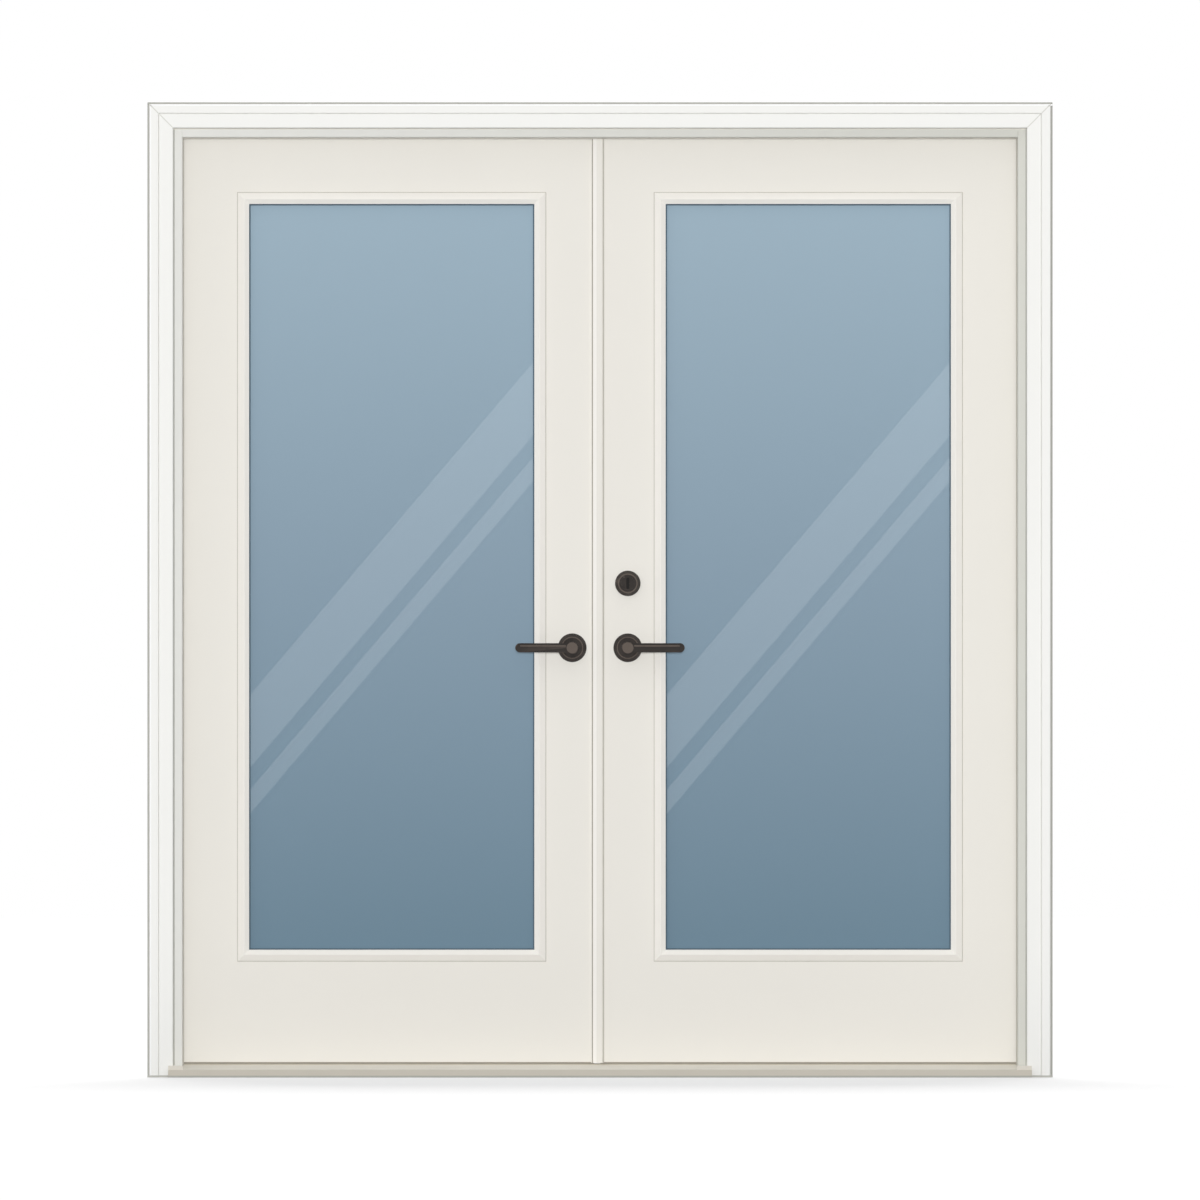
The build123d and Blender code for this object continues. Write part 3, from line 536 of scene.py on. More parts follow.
FINISHES: dict[str, Finish] = {
    "trim_paint": Paint("f6f6f3", 0.4, 0.06, 0.02),
    # Pure white for the casing's painted highlight strip.
    "painted_highlight_white": Paint("ffffff", 0.3, 0.0),
    # Jambs and stops greyer towards the right: painted shade.
    "jamb_paint": Paint("e6e6e2", 0.42, 0.06, 0.02, far="d3d3cc"),
    "leaf_paint": Paint("ebe8e1", 0.42, 0.14),
    # Lighter paint left of the bevel line on the cover strip: a painted highlight.
    "astragal_paint": Paint("f4f1ec", 0.4, 0.08, far="ebe8e1", span=(-0.0080, -0.0070)),
    "lite_frame_plastic": Paint("f6f3ed", 0.45, 0.08),
    # The panes' blue gradient is a painted sky reflection.
    "lite_glass": Glass("a3bbcb", "8ba3b5", "6b899c", 0.27, 1.9, 0.86),
    "spacer_metal": Brushed("9a9c9b", 0.4),
    "stile_wood": Softwood("d3b488", "b48f5c"),
    "foam_core": Composite("e8dcae", 0.85, 0.05, 260.0, 0.6),
    "sill_composite": Composite("8d8678", 0.65),
    "sill_metal": CoatedSheet("ebe7dd", "cdc7bb", "b2b2aa", 0.0172, 0.004),
    "cap_composite": Composite("dcd5c6", 0.55),
    "end_dam": Composite("e1dcd2", 0.5),
    "seal_rubber": Composite("a8a398", 0.7, 0.04, 700.0, 0.15),
    # The bronzes' second colour is a painted highlight on edges; the levers' also on the hub end.
    "hinge_steel": Bronze("322d2a", "6b5f58"),
    "lock_steel": Brushed("a9a59d"),
    "bronze_trim": Bronze("2f2a27", "5e5550"),
    "left_lever_bronze": Bronze("2f2a27", "60564f", 0.38, (-LOCK_OFFSET, LEVER_HEIGHT), 0.0122),
    "right_lever_bronze": Bronze("2f2a27", "60564f", 0.38, (LOCK_OFFSET, LEVER_HEIGHT), 0.0122),
    # A lighter copy of the bronze for rings and reeds: painted highlight.
    "painted_highlight_bronze": Bronze("60564f", "776a62", 0.34),
    # Near-black for the keyway's bottom: painted shade.
    "keyway_painted_shade": Composite("161413", 0.6, 0.1, 900.0, 0.2),
    "caulk": Composite("bebeb7", 0.75, 0.03, 220.0, 0.3),
    # Darker copy of the caulk for over the head: painted shade.
    "head_caulk_painted_shade": Composite("acaca5", 0.75, 0.03, 220.0, 0.3),
    "filler": Composite("deded8", 0.7, 0.03, 300.0, 0.2),
    "quirk_shade": Composite("aca79d", 0.7, 0.03, 300.0, 0.2),
    # Grey that is painted shade on real seams and lips: round the lite frames, on the seal lip's sides and
    # along the cover strip's edge.
    "seam_and_painted_shade": Composite("c4c0b7", 0.7, 0.03, 300.0, 0.2),
    "seal_white": Composite("efebe2", 0.7, 0.03, 300.0, 0.2),
    "glazing_rubber": Composite("536673", 0.55, 0.05, 600.0, 0.2),
}


def arc(middle: Point, across: float, out: float, steps: int) -> list[Point]:
    """Points of a half-round about its flat side's middle, by half its width and how far it stands out."""
    turns = [math.pi * step / steps for step in range(steps + 1)]
    return [(middle[0] - across * math.cos(t), middle[1] - out * math.sin(t)) for t in turns]


def skinned(rings: Sequence[Sequence[Sequence[float]]], closed: bool) -> Mesh:
    """Stretch a skin over rings of points.

    Args:
        rings: the points of each ring, as many in all of them.
        closed: whether the last ring joins the first. If not, both ends are capped.

    Returns:
        The mesh, closed all round.
    """
    build = bmesh.new()
    made = [[build.verts.new(point) for point in ring] for ring in rings]
    for one, two in zip(made, made[1:] + made[:1] if closed else made[1:]):
        for number in range(len(one)):
            after = (number + 1) % len(one)
            build.faces.new((one[number], one[after], two[after], two[number]))
    if not closed:
        build.faces.new(made[0][::-1])
        build.faces.new(made[-1])
    bmesh.ops.remove_doubles(build, verts=build.verts, dist=1e-6)
    bmesh.ops.recalc_face_normals(build, faces=build.faces)
    return build


@dataclass
class Run:
    """A strip of one section along a path in an upright plane, mitred at its corners."""

    path: Sequence[Point]
    section: Sequence[Point]
    closed: bool = False

    def normals(self) -> list[Vector]:
        """Work out the mitres.

        Returns:
            Direction of the mitre at each point of the path, to the left of its travel.
        """
        spots = [Vector(spot) for spot in self.path]
        ways = [(two - one).normalized() for one, two in zip(spots, spots[1:] + spots[:1])]
        ahead = [Vector((-way.y, way.x)) for way in ways]
        if not self.closed:
            ahead[-1] = ahead[-2]
        behind = [ahead[-1] if self.closed else ahead[0]] + ahead[:-1]
        return [(one + two) / (1 + one.dot(two)) for one, two in zip(ahead, behind)]

    def mesh(self) -> Mesh:
        """Sweep the section along the path."""
        rings = [
            [(spot[0] + normal.x * off, depth, spot[1] + normal.y * off) for off, depth in self.section]
            for spot, normal in zip(self.path, self.normals())
        ]
        return skinned(rings, self.closed)


def facing(outward: Vector) -> Matrix:
    """Turn that brings the Z axis to a direction."""
    return Vector((0, 0, 1)).rotation_difference(outward).to_matrix().to_4x4()


def turned(section: Sequence[Point], centre: Vector, outward: Vector, sides: int) -> Mesh:
    """Turn a section about an axis.

    Args:
        section: points as (radius, height along outward), drawn round and closed.
        centre: point on the axis at height nought.
        outward: direction of the axis.
        sides: number of flats.

    Returns:
        The turned mesh.
    """
    turns = [math.tau * number / sides for number in range(sides)]
    build = skinned([[(r * math.cos(t), r * math.sin(t), h) for r, h in section] for t in turns], closed=True)
    build.transform(Matrix.Translation(centre) @ facing(outward))
    return build


def painted_highlight_ring(radius: float, width: float, centre: Vector, outward: Vector) -> Mesh:
    """Low half-round ring about an axis."""
    rise, steps, sides = 0.0007, 8, 72
    return turned(arc((radius, 0.0), width / 2, -rise, steps), centre, outward, sides)


def pulled(ends: Triple, middle: Sequence[float], half: Triple, sides: int, rows: int) -> Mesh:
    """Pull a ball out along X into a rib with round ends.

    Args:
        ends: X that its low half, its girdle and its high half go to.
        middle: Y and Z of its axis.
        half: half sizes of the ball along the axes.
        sides: flats round the ball.
        rows: rows of flats from pole to pole.

    Returns:
        The rib's mesh.
    """
    girdle = 1e-4
    build = bmesh.new()
    bmesh.ops.create_uvsphere(build, u_segments=sides, v_segments=rows, radius=1.0)
    for vert in build.verts:
        x, y, z = vert.co
        end = ends[1 + (x > girdle) - (x < -girdle)]
        vert.co = (end + x * half[0], middle[0] + y * half[1], middle[1] + z * half[2])
    bmesh.ops.recalc_face_normals(build, faces=build.faces)
    return build


def joined(builds: Iterable[Mesh]) -> Mesh:
    """Put meshes together.

    Args:
        builds: meshes, which are used up.

    Returns:
        One mesh with all of them.
    """
    whole = bmesh.new()
    for build in builds:
        spare = bpy.data.meshes.new("spare")
        build.to_mesh(spare)
        build.free()
        whole.from_mesh(spare)
        bpy.data.meshes.remove(spare)
    return whole


def placed(name: str, data: bpy.types.ID) -> bpy.types.Object:
    """Put a mesh, a lamp or a camera into the scene.

    Args:
        name: the object's name.
        data: what it shows.

    Returns:
        The object.
    """
    obj = bpy.data.objects.new(name, data)
    bpy.context.scene.collection.objects.link(obj)
    return obj


@dataclass
class Workshop:
    """Hands out materials, dresses CAD nodes and places new pieces."""

    made: dict[str, Material] = field(default_factory=dict)
    weld_gap: float = 0.00002
    wide_ease: float = 0.001
    ease_angle: float = math.radians(32)
    smooth_angle: float = math.radians(40)

    def material(self, name: str) -> Material:
        """Find or make the material of a finish.

        Args:
            name: the finish's name.

        Returns:
            Its material, made on first use.
        """
        if name not in self.made:
            self.made[name] = FINISHES[name].make(name)
        return self.made[name]

    def dress(self, coats: Coats, start: str = "") -> None:
        """Give CAD nodes their finishes and softened edges.

        Args:
            coats: finishes, with the width of the edge bevels, or nought for sharp edges, and the nodes.
            start: what the nodes' names begin with.
        """
        for finish, ease, nodes in coats:
            for node in nodes:
                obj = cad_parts[start + node]
                obj.data.materials.clear()
                obj.data.materials.append(self.material(finish))
                if ease:
                    self.ease(obj, ease)

    def ease(self, obj: bpy.types.Object, width: float) -> None:
        """Soften the edges of a CAD node.

        Args:
            obj: the node's object.
            width: width of its edge bevels in metres.
        """
        weld = obj.modifiers.new("weld", "WELD")
        weld.merge_threshold = self.weld_gap
        bevel = obj.modifiers.new("ease", "BEVEL")
        bevel.width = width
        bevel.segments = 3 if width > self.wide_ease else 2
        bevel.limit_method = "ANGLE"
        bevel.angle_limit = self.ease_angle
        bevel.use_clamp_overlap = True
        bevel.harden_normals = True

    def piece(
        self, name: str, build: Mesh, body: str, slot: str, finish: str = "", smooth: bool = False
    ) -> None:
        """Turn a mesh into a piece that rides on a CAD body.

        Args:
            name: the piece's name.
            build: its mesh, which is used up.
            body: CAD body it moves with.
            slot: the record's slot it belongs to.
            finish: its finish, where that isn't the slot's own.
            smooth: whether its faces are shaded as one curve up to a fair angle.
        """
        mesh = bpy.data.meshes.new(name)
        build.to_mesh(mesh)
        build.free()
        if smooth:
            mesh.polygons.foreach_set("use_smooth", [True] * len(mesh.polygons))
            mesh.set_sharp_from_angle(angle=self.smooth_angle)
        obj = placed(name, mesh)
        mesh.materials.append(self.material(finish or slot))
        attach(obj, body)
        log.info("piece %s on %s", name, body)


@dataclass
class Screw:
    """Oval screw head with a cross on it."""

    radius: float
    sides: ClassVar[int] = 24
    rise: ClassVar[float] = 0.22
    dome: ClassVar[tuple[Point, ...]] = ((0.0, 0.0), (1.0, 0.0), (0.92, 0.55), (0.68, 1.0), (0.0, 1.0))
    arm: ClassVar[float] = 0.6
    slot: ClassVar[float] = 0.16
    thickness: ClassVar[float] = 0.1

    def mesh(self, head: Vector, outward: Vector) -> Mesh:
        """Build a low domed head with a thin cross let into its top.

        Args:
            head: centre of the head's seat.
            outward: direction that the head faces.

        Returns:
            The mesh in the row frame.
        """
        top, wide = self.radius * self.rise, self.radius * 2
        build = turned([(r * self.radius, h * top) for r, h in self.dome], head, outward, self.sides)
        size = Matrix.Diagonal((wide * self.arm, wide * self.slot, top * self.thickness, 1))
        for turn in (0.0, math.pi / 2):
            spot = Matrix.Translation(head) @ facing(outward) @ Matrix.Rotation(turn, 4, "Z")
            bmesh.ops.create_cube(build, size=1.0, matrix=spot @ Matrix.Translation((0, 0, top)) @ size)
        return build


@dataclass
class Surround:
    """Jambs, stops, casing, sill, seals and the beads between them."""

    shop: Workshop
    caulk_width: float = 0.0046
    caulk_seat: float = -0.008
    caulk_rise: float = 0.005
    seam_width: float = 0.0028
    arris_radius: float = 0.0026
    arris_proud: float = 0.00015
    arris_flat: float = 0.0008
    arris_steps: int = 6
    mitre_width: float = 0.0024
    mitre_proud: float = 0.00015
    band_width: float = 0.0233
    band_step: float = 0.0025
    foot_rise: float = 0.0042
    foot_bulge: float = 0.002
    foot_reach: float = 0.004
    stop_width: float = 0.0127
    lip_width: float = 0.0022
    lip_depth: float = 0.0016
    lip_root: float = 0.004
    lip_clearance: float = 0.0002
    rib_count: int = 7
    rib_width: float = 0.0009
    rib_rise: float = 0.0005
    rib_inset: float = 0.004
    tread_front: Point = (-0.040, 0.01732)
    tread_back: Point = (0.058, 0.02424)
    dam_front: float = -0.0445
    dam_back: float = -0.0322
    dam_foot: float = 0.0166
    dam_top: float = 0.0252
    dam_ease: float = 0.0008
    coats: ClassVar[Coats] = (
        ("trim_paint", 0.0006, ("left_casing", "right_casing", "head_casing")),
        ("jamb_paint", 0.0, ("left_jamb", "right_jamb", "head_jamb")),
        ("jamb_paint", 0.0006, ("door_stops",)),
        ("seal_rubber", 0.0, ("left_weatherstrip", "right_weatherstrip", "head_weatherstrip")),
        ("sill_composite", 0.0, ("sill_base",)),
        ("sill_metal", 0.0009, ("sill_deck",)),
        ("cap_composite", 0.0008, ("threshold_cap",)),
        ("lock_steel", 0.0003, ("flush_bolt_plates",)),
    )

    def build(self) -> None:
        """Dress every fixed piece of the frame and add its beads, ribs and dams."""
        self.shop.dress(self.coats)
        self.beads()
        self.arris()
        self.fillers()
        self.ribs()
        self.dams()

    def doorway(self, half: float, top: float, foot: float = 0.0) -> list[Point]:
        """Path up the left side, over the head and down the right side."""
        return [(-half, foot), (-half, top), (half, top), (half, foot)]

    def three_sides(
        self, name: str, path: list[Point], section: list[Point], slot: str, finish: str, over: str
    ) -> None:
        """Lay a bead up both sides and one over the head.

        Args:
            name: start of the pieces' names.
            path: the doorway's four corners.
            section: the bead's section.
            slot: the record's slot.
            finish: the finish at the sides.
            over: the finish over the head.
        """
        top = path[1][1] + min(off for off, _ in section)
        legs = [(x, min(z, top)) for x, z in path]
        sides = joined(Run(legs[i:i + 2], section).mesh() for i in (0, 2))
        self.shop.piece(f"{name}_sides", sides, "frame", slot, finish)
        self.shop.piece(f"{name}_head", Run(path[1:3], section).mesh(), "frame", slot, over)

    def beads(self) -> None:
        """Caulk round the casing, with a darker copy over the head as painted shade; a seam inside it, grey
        on the sides as painted shade in the corner and white over the head; and the lip of the seal, grey on
        the sides as painted shade and white over the head.
        """
        low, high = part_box("head_casing")
        seat, rise, wide = self.caulk_seat, self.caulk_rise, self.caulk_width
        fillet = [(0.0, seat), (-wide, seat), (-wide, seat - rise), (-wide * 0.6, seat - rise * 0.8)]
        fillet.append((-wide * 0.2, seat - rise * 0.45))
        path = self.doorway(high.x, high.z)
        # Painted shade: the caulk over the head is darker than at the sides.
        self.three_sides("caulk_bead", path, fillet, "trim_paint", "caulk", "head_caulk_painted_shade")

        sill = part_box("sill_deck")[1].z
        wide = self.seam_width
        fillet = [(0.0, 0.0), (-wide, 0.0), (-wide * 0.4, -wide * 0.4), (0.0, -wide)]
        path = self.doorway(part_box("right_casing")[0].x, low.z, sill)
        # Painted shade: the seam is grey in the corner at the sides, white over the head.
        self.three_sides("casing_seam", path, fillet, "trim_paint", "caulk", "seal_white")

        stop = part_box("door_stops")[1]
        front, wide = stop.y + self.lip_clearance, self.lip_width
        back = front + self.lip_depth
        fold = [(self.lip_root, front), (-wide, front), (-wide * 1.15, (front + back) / 2), (-wide, back)]
        fold.append((self.lip_root, back))
        path = self.doorway(stop.x - self.stop_width, stop.z - self.stop_width, sill)
        # Painted shade: the lip is grey at the sides, white over the head.
        self.three_sides("seal_lip", path, fold, "seal_rubber", "seam_and_painted_shade", "seal_white")

    def arris(self) -> None:
        """Painted highlight: a white strip over the casing's outer edge, on the left side and over the head,
        which take the light.
        """
        low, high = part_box("head_casing")
        off, depth = -self.caulk_width - self.arris_radius, low.y + self.arris_radius
        reach, flat = self.arris_radius + self.arris_proud, self.arris_flat
        skin = arc((off, depth), -reach, reach, 2 * self.arris_steps)[:self.arris_steps + 1]
        skin += [(off - flat, depth - reach), (off - flat, low.y + flat), (off + flat, depth)]
        build = Run(self.doorway(high.x, high.z, self.foot_rise)[:3], skin).mesh()
        self.shop.piece("casing_painted_highlight", build, "frame", "trim_paint", "painted_highlight_white", True)

    def fillers(self) -> None:
        """Filler in the casing's mitres and caulk under its feet."""
        low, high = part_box("head_casing")
        inner_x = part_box("right_casing")[0].x
        band, rim = (high.x - inset - inner_x for inset in (self.band_width, self.caulk_width))
        half, proud, tall = self.mitre_width / 2, self.mitre_proud, self.foot_rise / 2
        foot = [(-tall, low.y), (tall, low.y)]
        foot += [(tall * 0.6, low.y - self.foot_bulge), (-tall, low.y - self.foot_reach)]
        mitres, feet = [], []
        for side in Side:
            for start, end, sunk in ((0.0, band, self.band_step), (band, rim, 0.0)):
                path = [(side.sign * (inner_x + along), low.z + along) for along in (start, end)]
                front, back = low.y + sunk - proud, low.y + sunk + proud
                mitres.append(Run(path, [(-half, back), (half, back), (half, front), (-half, front)]).mesh())
            path = sorted((side.sign * x, tall) for x in (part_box("sill_deck")[1].x, high.x))
            feet.append(Run(path, foot).mesh())
        self.shop.piece("mitre_filler", joined(mitres), "frame", "trim_paint", "filler")
        self.shop.piece("foot_caulk", joined(feet), "frame", "trim_paint", "caulk")

    def ribs(self) -> None:
        """Fine ribs along the sloped tread of the sill."""
        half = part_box("right_jamb")[0].x - self.rib_inset
        front, back = Vector(self.tread_front), Vector(self.tread_back)
        sizes = (self.rib_width, self.rib_width, self.rib_rise)
        spots = [front.lerp(back, number / (self.rib_count - 1)) for number in range(self.rib_count)]
        builds = [pulled((-half, 0.0, half), spot, sizes, sides=8, rows=8) for spot in spots]
        self.shop.piece("tread_ribs", joined(builds), "frame", "sill_metal", smooth=True)

    def dams(self) -> None:
        """Low dams on the sill's ends, in front of the casing's and the jambs' feet."""
        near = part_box("door_stops")[1].x - self.stop_width - self.lip_width
        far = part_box("sill_deck")[1].x - self.lip_clearance
        front, back, top, ease = self.dam_front, self.dam_back, self.dam_top, self.dam_ease
        block = [(self.dam_foot, front), (top - ease, front), (top, front + ease), (top, back)]
        block.append((self.dam_foot, back))
        builds = [Run([(low, 0.0), (high, 0.0)], block).mesh() for low, high in ((-far, -near), (near, far))]
        self.shop.piece("sill_end_dams", joined(builds), "frame", "sill_metal", "end_dam")


@dataclass
class Leaf:
    """One leaf with its glazing and door bottom."""

    shop: Workshop
    side: Side
    sight: float = 0.0243
    lip_level: float = 0.0175
    gasket: Sequence[Point] = ((0.0, 0.0), (0.0008, -0.0002), (0.0022, 0.0004), (0.0029, 0.0016))
    gasket_root: float = 0.0012
    gasket_foot: float = 0.0025
    seam: float = 0.0014
    bead_width: float = 0.0100
    bead_sink: float = 0.0001
    bead_fall: float = 0.0064
    bevel: float = 0.0133
    lip: float = 0.0015
    rise: float = 0.011
    plug_radius: float = 0.0042
    plug_pitch: float = 0.3
    plug_sides: int = 24
    plug_dome: ClassVar[tuple[Point, ...]] = (
        (0.0, -0.0005), (1.0, -0.0005), (1.0, 0.0002), (0.85, 0.0007), (0.4, 0.001), (0.0, 0.001)
    )
    coats: ClassVar[Coats] = (
        ("leaf_paint", 0.0003, ("outer_skin", "inner_skin")),
        ("stile_wood", 0.0, ("stile_frame",)),
        ("foam_core", 0.0, ("core",)),
        ("lite_frame_plastic", 0.0003, ("outer_lite_frame", "inner_lite_frame")),
        ("lite_glass", 0.0, ("outer_pane", "inner_pane")),
        ("spacer_metal", 0.0, ("glass_spacer",)),
        ("seal_rubber", 0.0, ("sweep",)),
    )

    def build(self) -> None:
        """Dress the leaf's layers, lites and glass, and add gaskets and plugs."""
        self.shop.dress(self.coats, f"{self.side.value}_")
        for face in Face:
            self.gaskets(face)
        self.plugs()

    def ring(self, node: str, inset: float) -> list[Point]:
        """Draw a node's front outline.

        Args:
            node: the node's name.
            inset: how far to draw the outline in.

        Returns:
            Its corners, anticlockwise as seen from outside.
        """
        low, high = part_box(node)
        left, right, foot, top = low.x + inset, high.x - inset, low.z + inset, high.z - inset
        return [(left, foot), (right, foot), (right, top), (left, top)]

    def gaskets(self, face: Face) -> None:
        """Rubber against the glass, a glazing bead over it and a seam round the lite frame, whose grey is
        partly painted shade.

        Args:
            face: which face of the leaf.
        """
        name, body, out = f"{self.side.value}_{face.value}", self.side.body, face.outward.y
        glass, ridge, skin = (face.front(f"{name}_{part}") for part in ("pane", "lite_frame", "skin"))
        level, crest = ridge - out * self.lip_level, ridge - out * self.bead_sink
        root = (0.0, level - out * self.gasket_root)
        rubber = [(off, level - out * fall) for off, fall in self.gasket]
        rubber += [(self.gasket[-1][0], glass), (self.gasket_foot, glass), root]
        wedge = [(-self.bead_width, crest), (0.0, crest - out * self.bead_fall), root]
        half = self.seam / 2
        seam = arc((-half, skin), half, -out * half, 4)

        opening, outline = (self.ring(f"{name}_lite_frame", inset) for inset in (self.sight, 0.0))
        build = Run(opening, rubber, closed=True).mesh()
        self.shop.piece(f"{name}_gasket", build, body, "seal_rubber", "glazing_rubber", True)
        build = Run(opening, wedge, closed=True).mesh()
        self.shop.piece(f"{name}_glazing_bead", build, body, "lite_frame_plastic")
        # Painted shade: the seam round the lite frame is grey.
        build = Run(outline, seam, closed=True).mesh()
        self.shop.piece(f"{name}_lite_seam", build, body, "lite_frame_plastic", "seam_and_painted_shade")

    def plugs(self) -> None:
        """Snap-in covers over the screws of the inside lite frame."""
        name = self.side.value
        depth = Face.INSIDE.front(f"{name}_inner_skin") + (self.lip + self.rise) / 2
        climb = self.rise - self.lip
        dome = [(share * self.plug_radius, height) for share, height in self.plug_dome]
        builds = []
        corners = self.ring(f"{name}_inner_lite_frame", self.bevel / 2)
        for one, two in zip(corners, corners[1:] + corners[:1]):
            run = Vector(two) - Vector(one)
            along = run.normalized()
            outward = Vector((along.y * climb, self.bevel, -along.x * climb)).normalized()
            count = max(2, round(run.length / self.plug_pitch))
            for number in range(count):
                spot = Vector(one) + run * ((number + 0.5) / count)
                builds.append(turned(dome, Vector((spot.x, depth, spot.y)), outward, self.plug_sides))
        build = joined(builds)
        self.shop.piece(f"{name}_screw_plugs", build, self.side.body, "lite_frame_plastic", smooth=True)


@dataclass
class Astragal:
    """Cover strip, stem, seal, strikes and flush bolts on the left leaf."""

    shop: Workshop
    screw: Screw = field(default_factory=lambda: Screw(0.0036))
    screw_inset: float = 0.007
    screw_pitch: float = 0.043
    quirk_inset: float = 0.0013
    quirk_width: float = 0.0024
    quirk_floor: float = 0.0012
    shade_rise: float = 0.0020
    lip_width: float = 0.0026
    lip_depth: float = 0.0014
    lip_root: float = 0.001
    lip_clearance: float = 0.0003
    coats: ClassVar[Coats] = (
        ("astragal_paint", 0.0004, ("astragal_flange",)),
        ("astragal_paint", 0.0005, ("astragal_stem",)),
        ("seal_rubber", 0.0, ("astragal_seal",)),
        ("lock_steel", 0.0003, ("lock_strikes", "top_flush_bolt", "bottom_flush_bolt")),
    )

    def build(self) -> None:
        """Dress the strip and its hardware, and add the painted shade in its quirk, its lip and its screws.
        """
        self.shop.dress(self.coats)
        self.strips()
        self.screws()

    def strips(self) -> None:
        """A darker strip in the quirk, which is painted shade, and a lip along the edge that closes on the
        right leaf, whose grey is painted shade.
        """
        low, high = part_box("astragal_flange")
        leaf, near = Face.OUTSIDE.front("right_outer_skin"), low.x + self.quirk_inset
        floor, back = leaf - self.quirk_floor, leaf - self.lip_clearance
        crest, front = floor - self.shade_rise, back - self.lip_depth
        bead = [(0.0, floor), (0.0, crest), (self.quirk_width, crest), (self.quirk_width, floor)]
        build = Run([(near, high.z), (near, low.z)], bead).mesh()
        self.shop.piece("quirk_painted_shade", build, "inactive_door", "astragal_paint", "quirk_shade")
        # Painted shade: the lip's grey stands for the shade beside the cover strip's edge.
        lip = [(-self.lip_root, back), (-self.lip_root, front), (self.lip_width * 0.6, front)]
        build = Run([(high.x, high.z), (high.x, low.z)], lip + [(self.lip_width, back)]).mesh()
        self.shop.piece("astragal_lip", build, "inactive_door", "seal_rubber", "seam_and_painted_shade")

    def screws(self) -> None:
        """Two screws in each strike."""
        low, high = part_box("lock_strikes")
        ends = [low.z + self.screw_inset, high.z - self.screw_inset]
        inner = [ends[0] + self.screw_pitch, ends[1] - self.screw_pitch]
        spots = [Vector((high.x, (low.y + high.y) / 2, z)) for z in ends + inner]
        heads = joined(self.screw.mesh(spot, Vector((1, 0, 0))) for spot in spots)
        self.shop.piece("strike_screws", heads, "inactive_door", "lock_steel", smooth=True)


@dataclass
class Hinges:
    """The three hinges of one leaf, with their screws and pin heads."""

    shop: Workshop
    side: Side
    screw: Screw = field(default_factory=lambda: Screw(0.0042))
    knuckle: float = 0.0065
    half_height: float = 0.0508
    least_gap: float = 0.2
    button_sides: int = 32
    button: ClassVar[tuple[Point, ...]] = (
        (0.0, 0.0), (0.86, 0.0), (0.86, 0.0009), (0.62, 0.0016), (0.5, 0.0034), (0.0, 0.0042)
    )
    rows: ClassVar[tuple[Point, ...]] = ((-0.036, 0.021), (0.0, 0.0085), (0.036, 0.021))
    coats: ClassVar[Coats] = (
        ("hinge_steel", 0.0004, ("jamb_hinge_leaves", "door_hinge_leaves")),
    )

    def build(self) -> None:
        """Dress both halves and add what fixes them."""
        name, sign = self.side.value, self.side.sign
        self.shop.dress(self.coats, f"{name}_")
        heights = self.heights()
        self.screws("frame", self.side.edge(f"{name}_jamb", outer=False), heights, -sign)
        self.screws(self.side.body, self.side.edge(f"{name}_inner_skin"), heights, sign)
        self.heads(heights)

    def heights(self) -> list[float]:
        """Find the hinges in the mesh of their jamb halves.

        Returns:
            Middle heights of the hinges in metres, lowest first.
        """
        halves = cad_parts[f"{self.side.value}_jamb_hinge_leaves"]
        levels = sorted({round(v.co.z, 4) for v in halves.data.vertices})
        groups: list[list[float]] = [[levels[0]]]
        for level in levels[1:]:
            if level - groups[-1][-1] > self.least_gap:
                groups.append([])
            groups[-1].append(level)
        return [(g[0] + g[-1]) / 2 for g in groups]

    def screws(self, body: str, edge: float, heights: Iterable[float], way: int) -> None:
        """Three screws in every plate of one half.

        Args:
            body: CAD body of that half.
            edge: X of the plates' free faces.
            heights: middle heights of the hinges.
            way: sign of X that the plates' free faces look to.
        """
        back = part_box(f"{self.side.value}_jamb")[1].y
        heads = joined(
            self.screw.mesh(Vector((edge, back - inset, height + row)), Vector((way, 0, 0)))
            for height in heights
            for row, inset in self.rows
        )
        self.shop.piece(f"{self.side.value}_{body}_hinge_screws", heads, body, "hinge_steel", smooth=True)

    def heads(self, heights: Iterable[float]) -> None:
        """Button heads of the pins, over and under the barrels.

        Args:
            heights: middle heights of the hinges.
        """
        halves = f"{self.side.value}_door_hinge_leaves"
        x = self.side.edge(halves) - self.side.sign * self.knuckle
        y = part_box(halves)[1].y - self.knuckle
        button, sides = [(share * self.knuckle, rise) for share, rise in self.button], self.button_sides
        builds = [
            turned(button, Vector((x, y, height + end * self.half_height)), Vector((0, 0, end)), sides)
            for height in heights
            for end in (-1, 1)
        ]
        self.shop.piece(f"{self.side.value}_pin_heads", joined(builds), "frame", "hinge_steel", smooth=True)


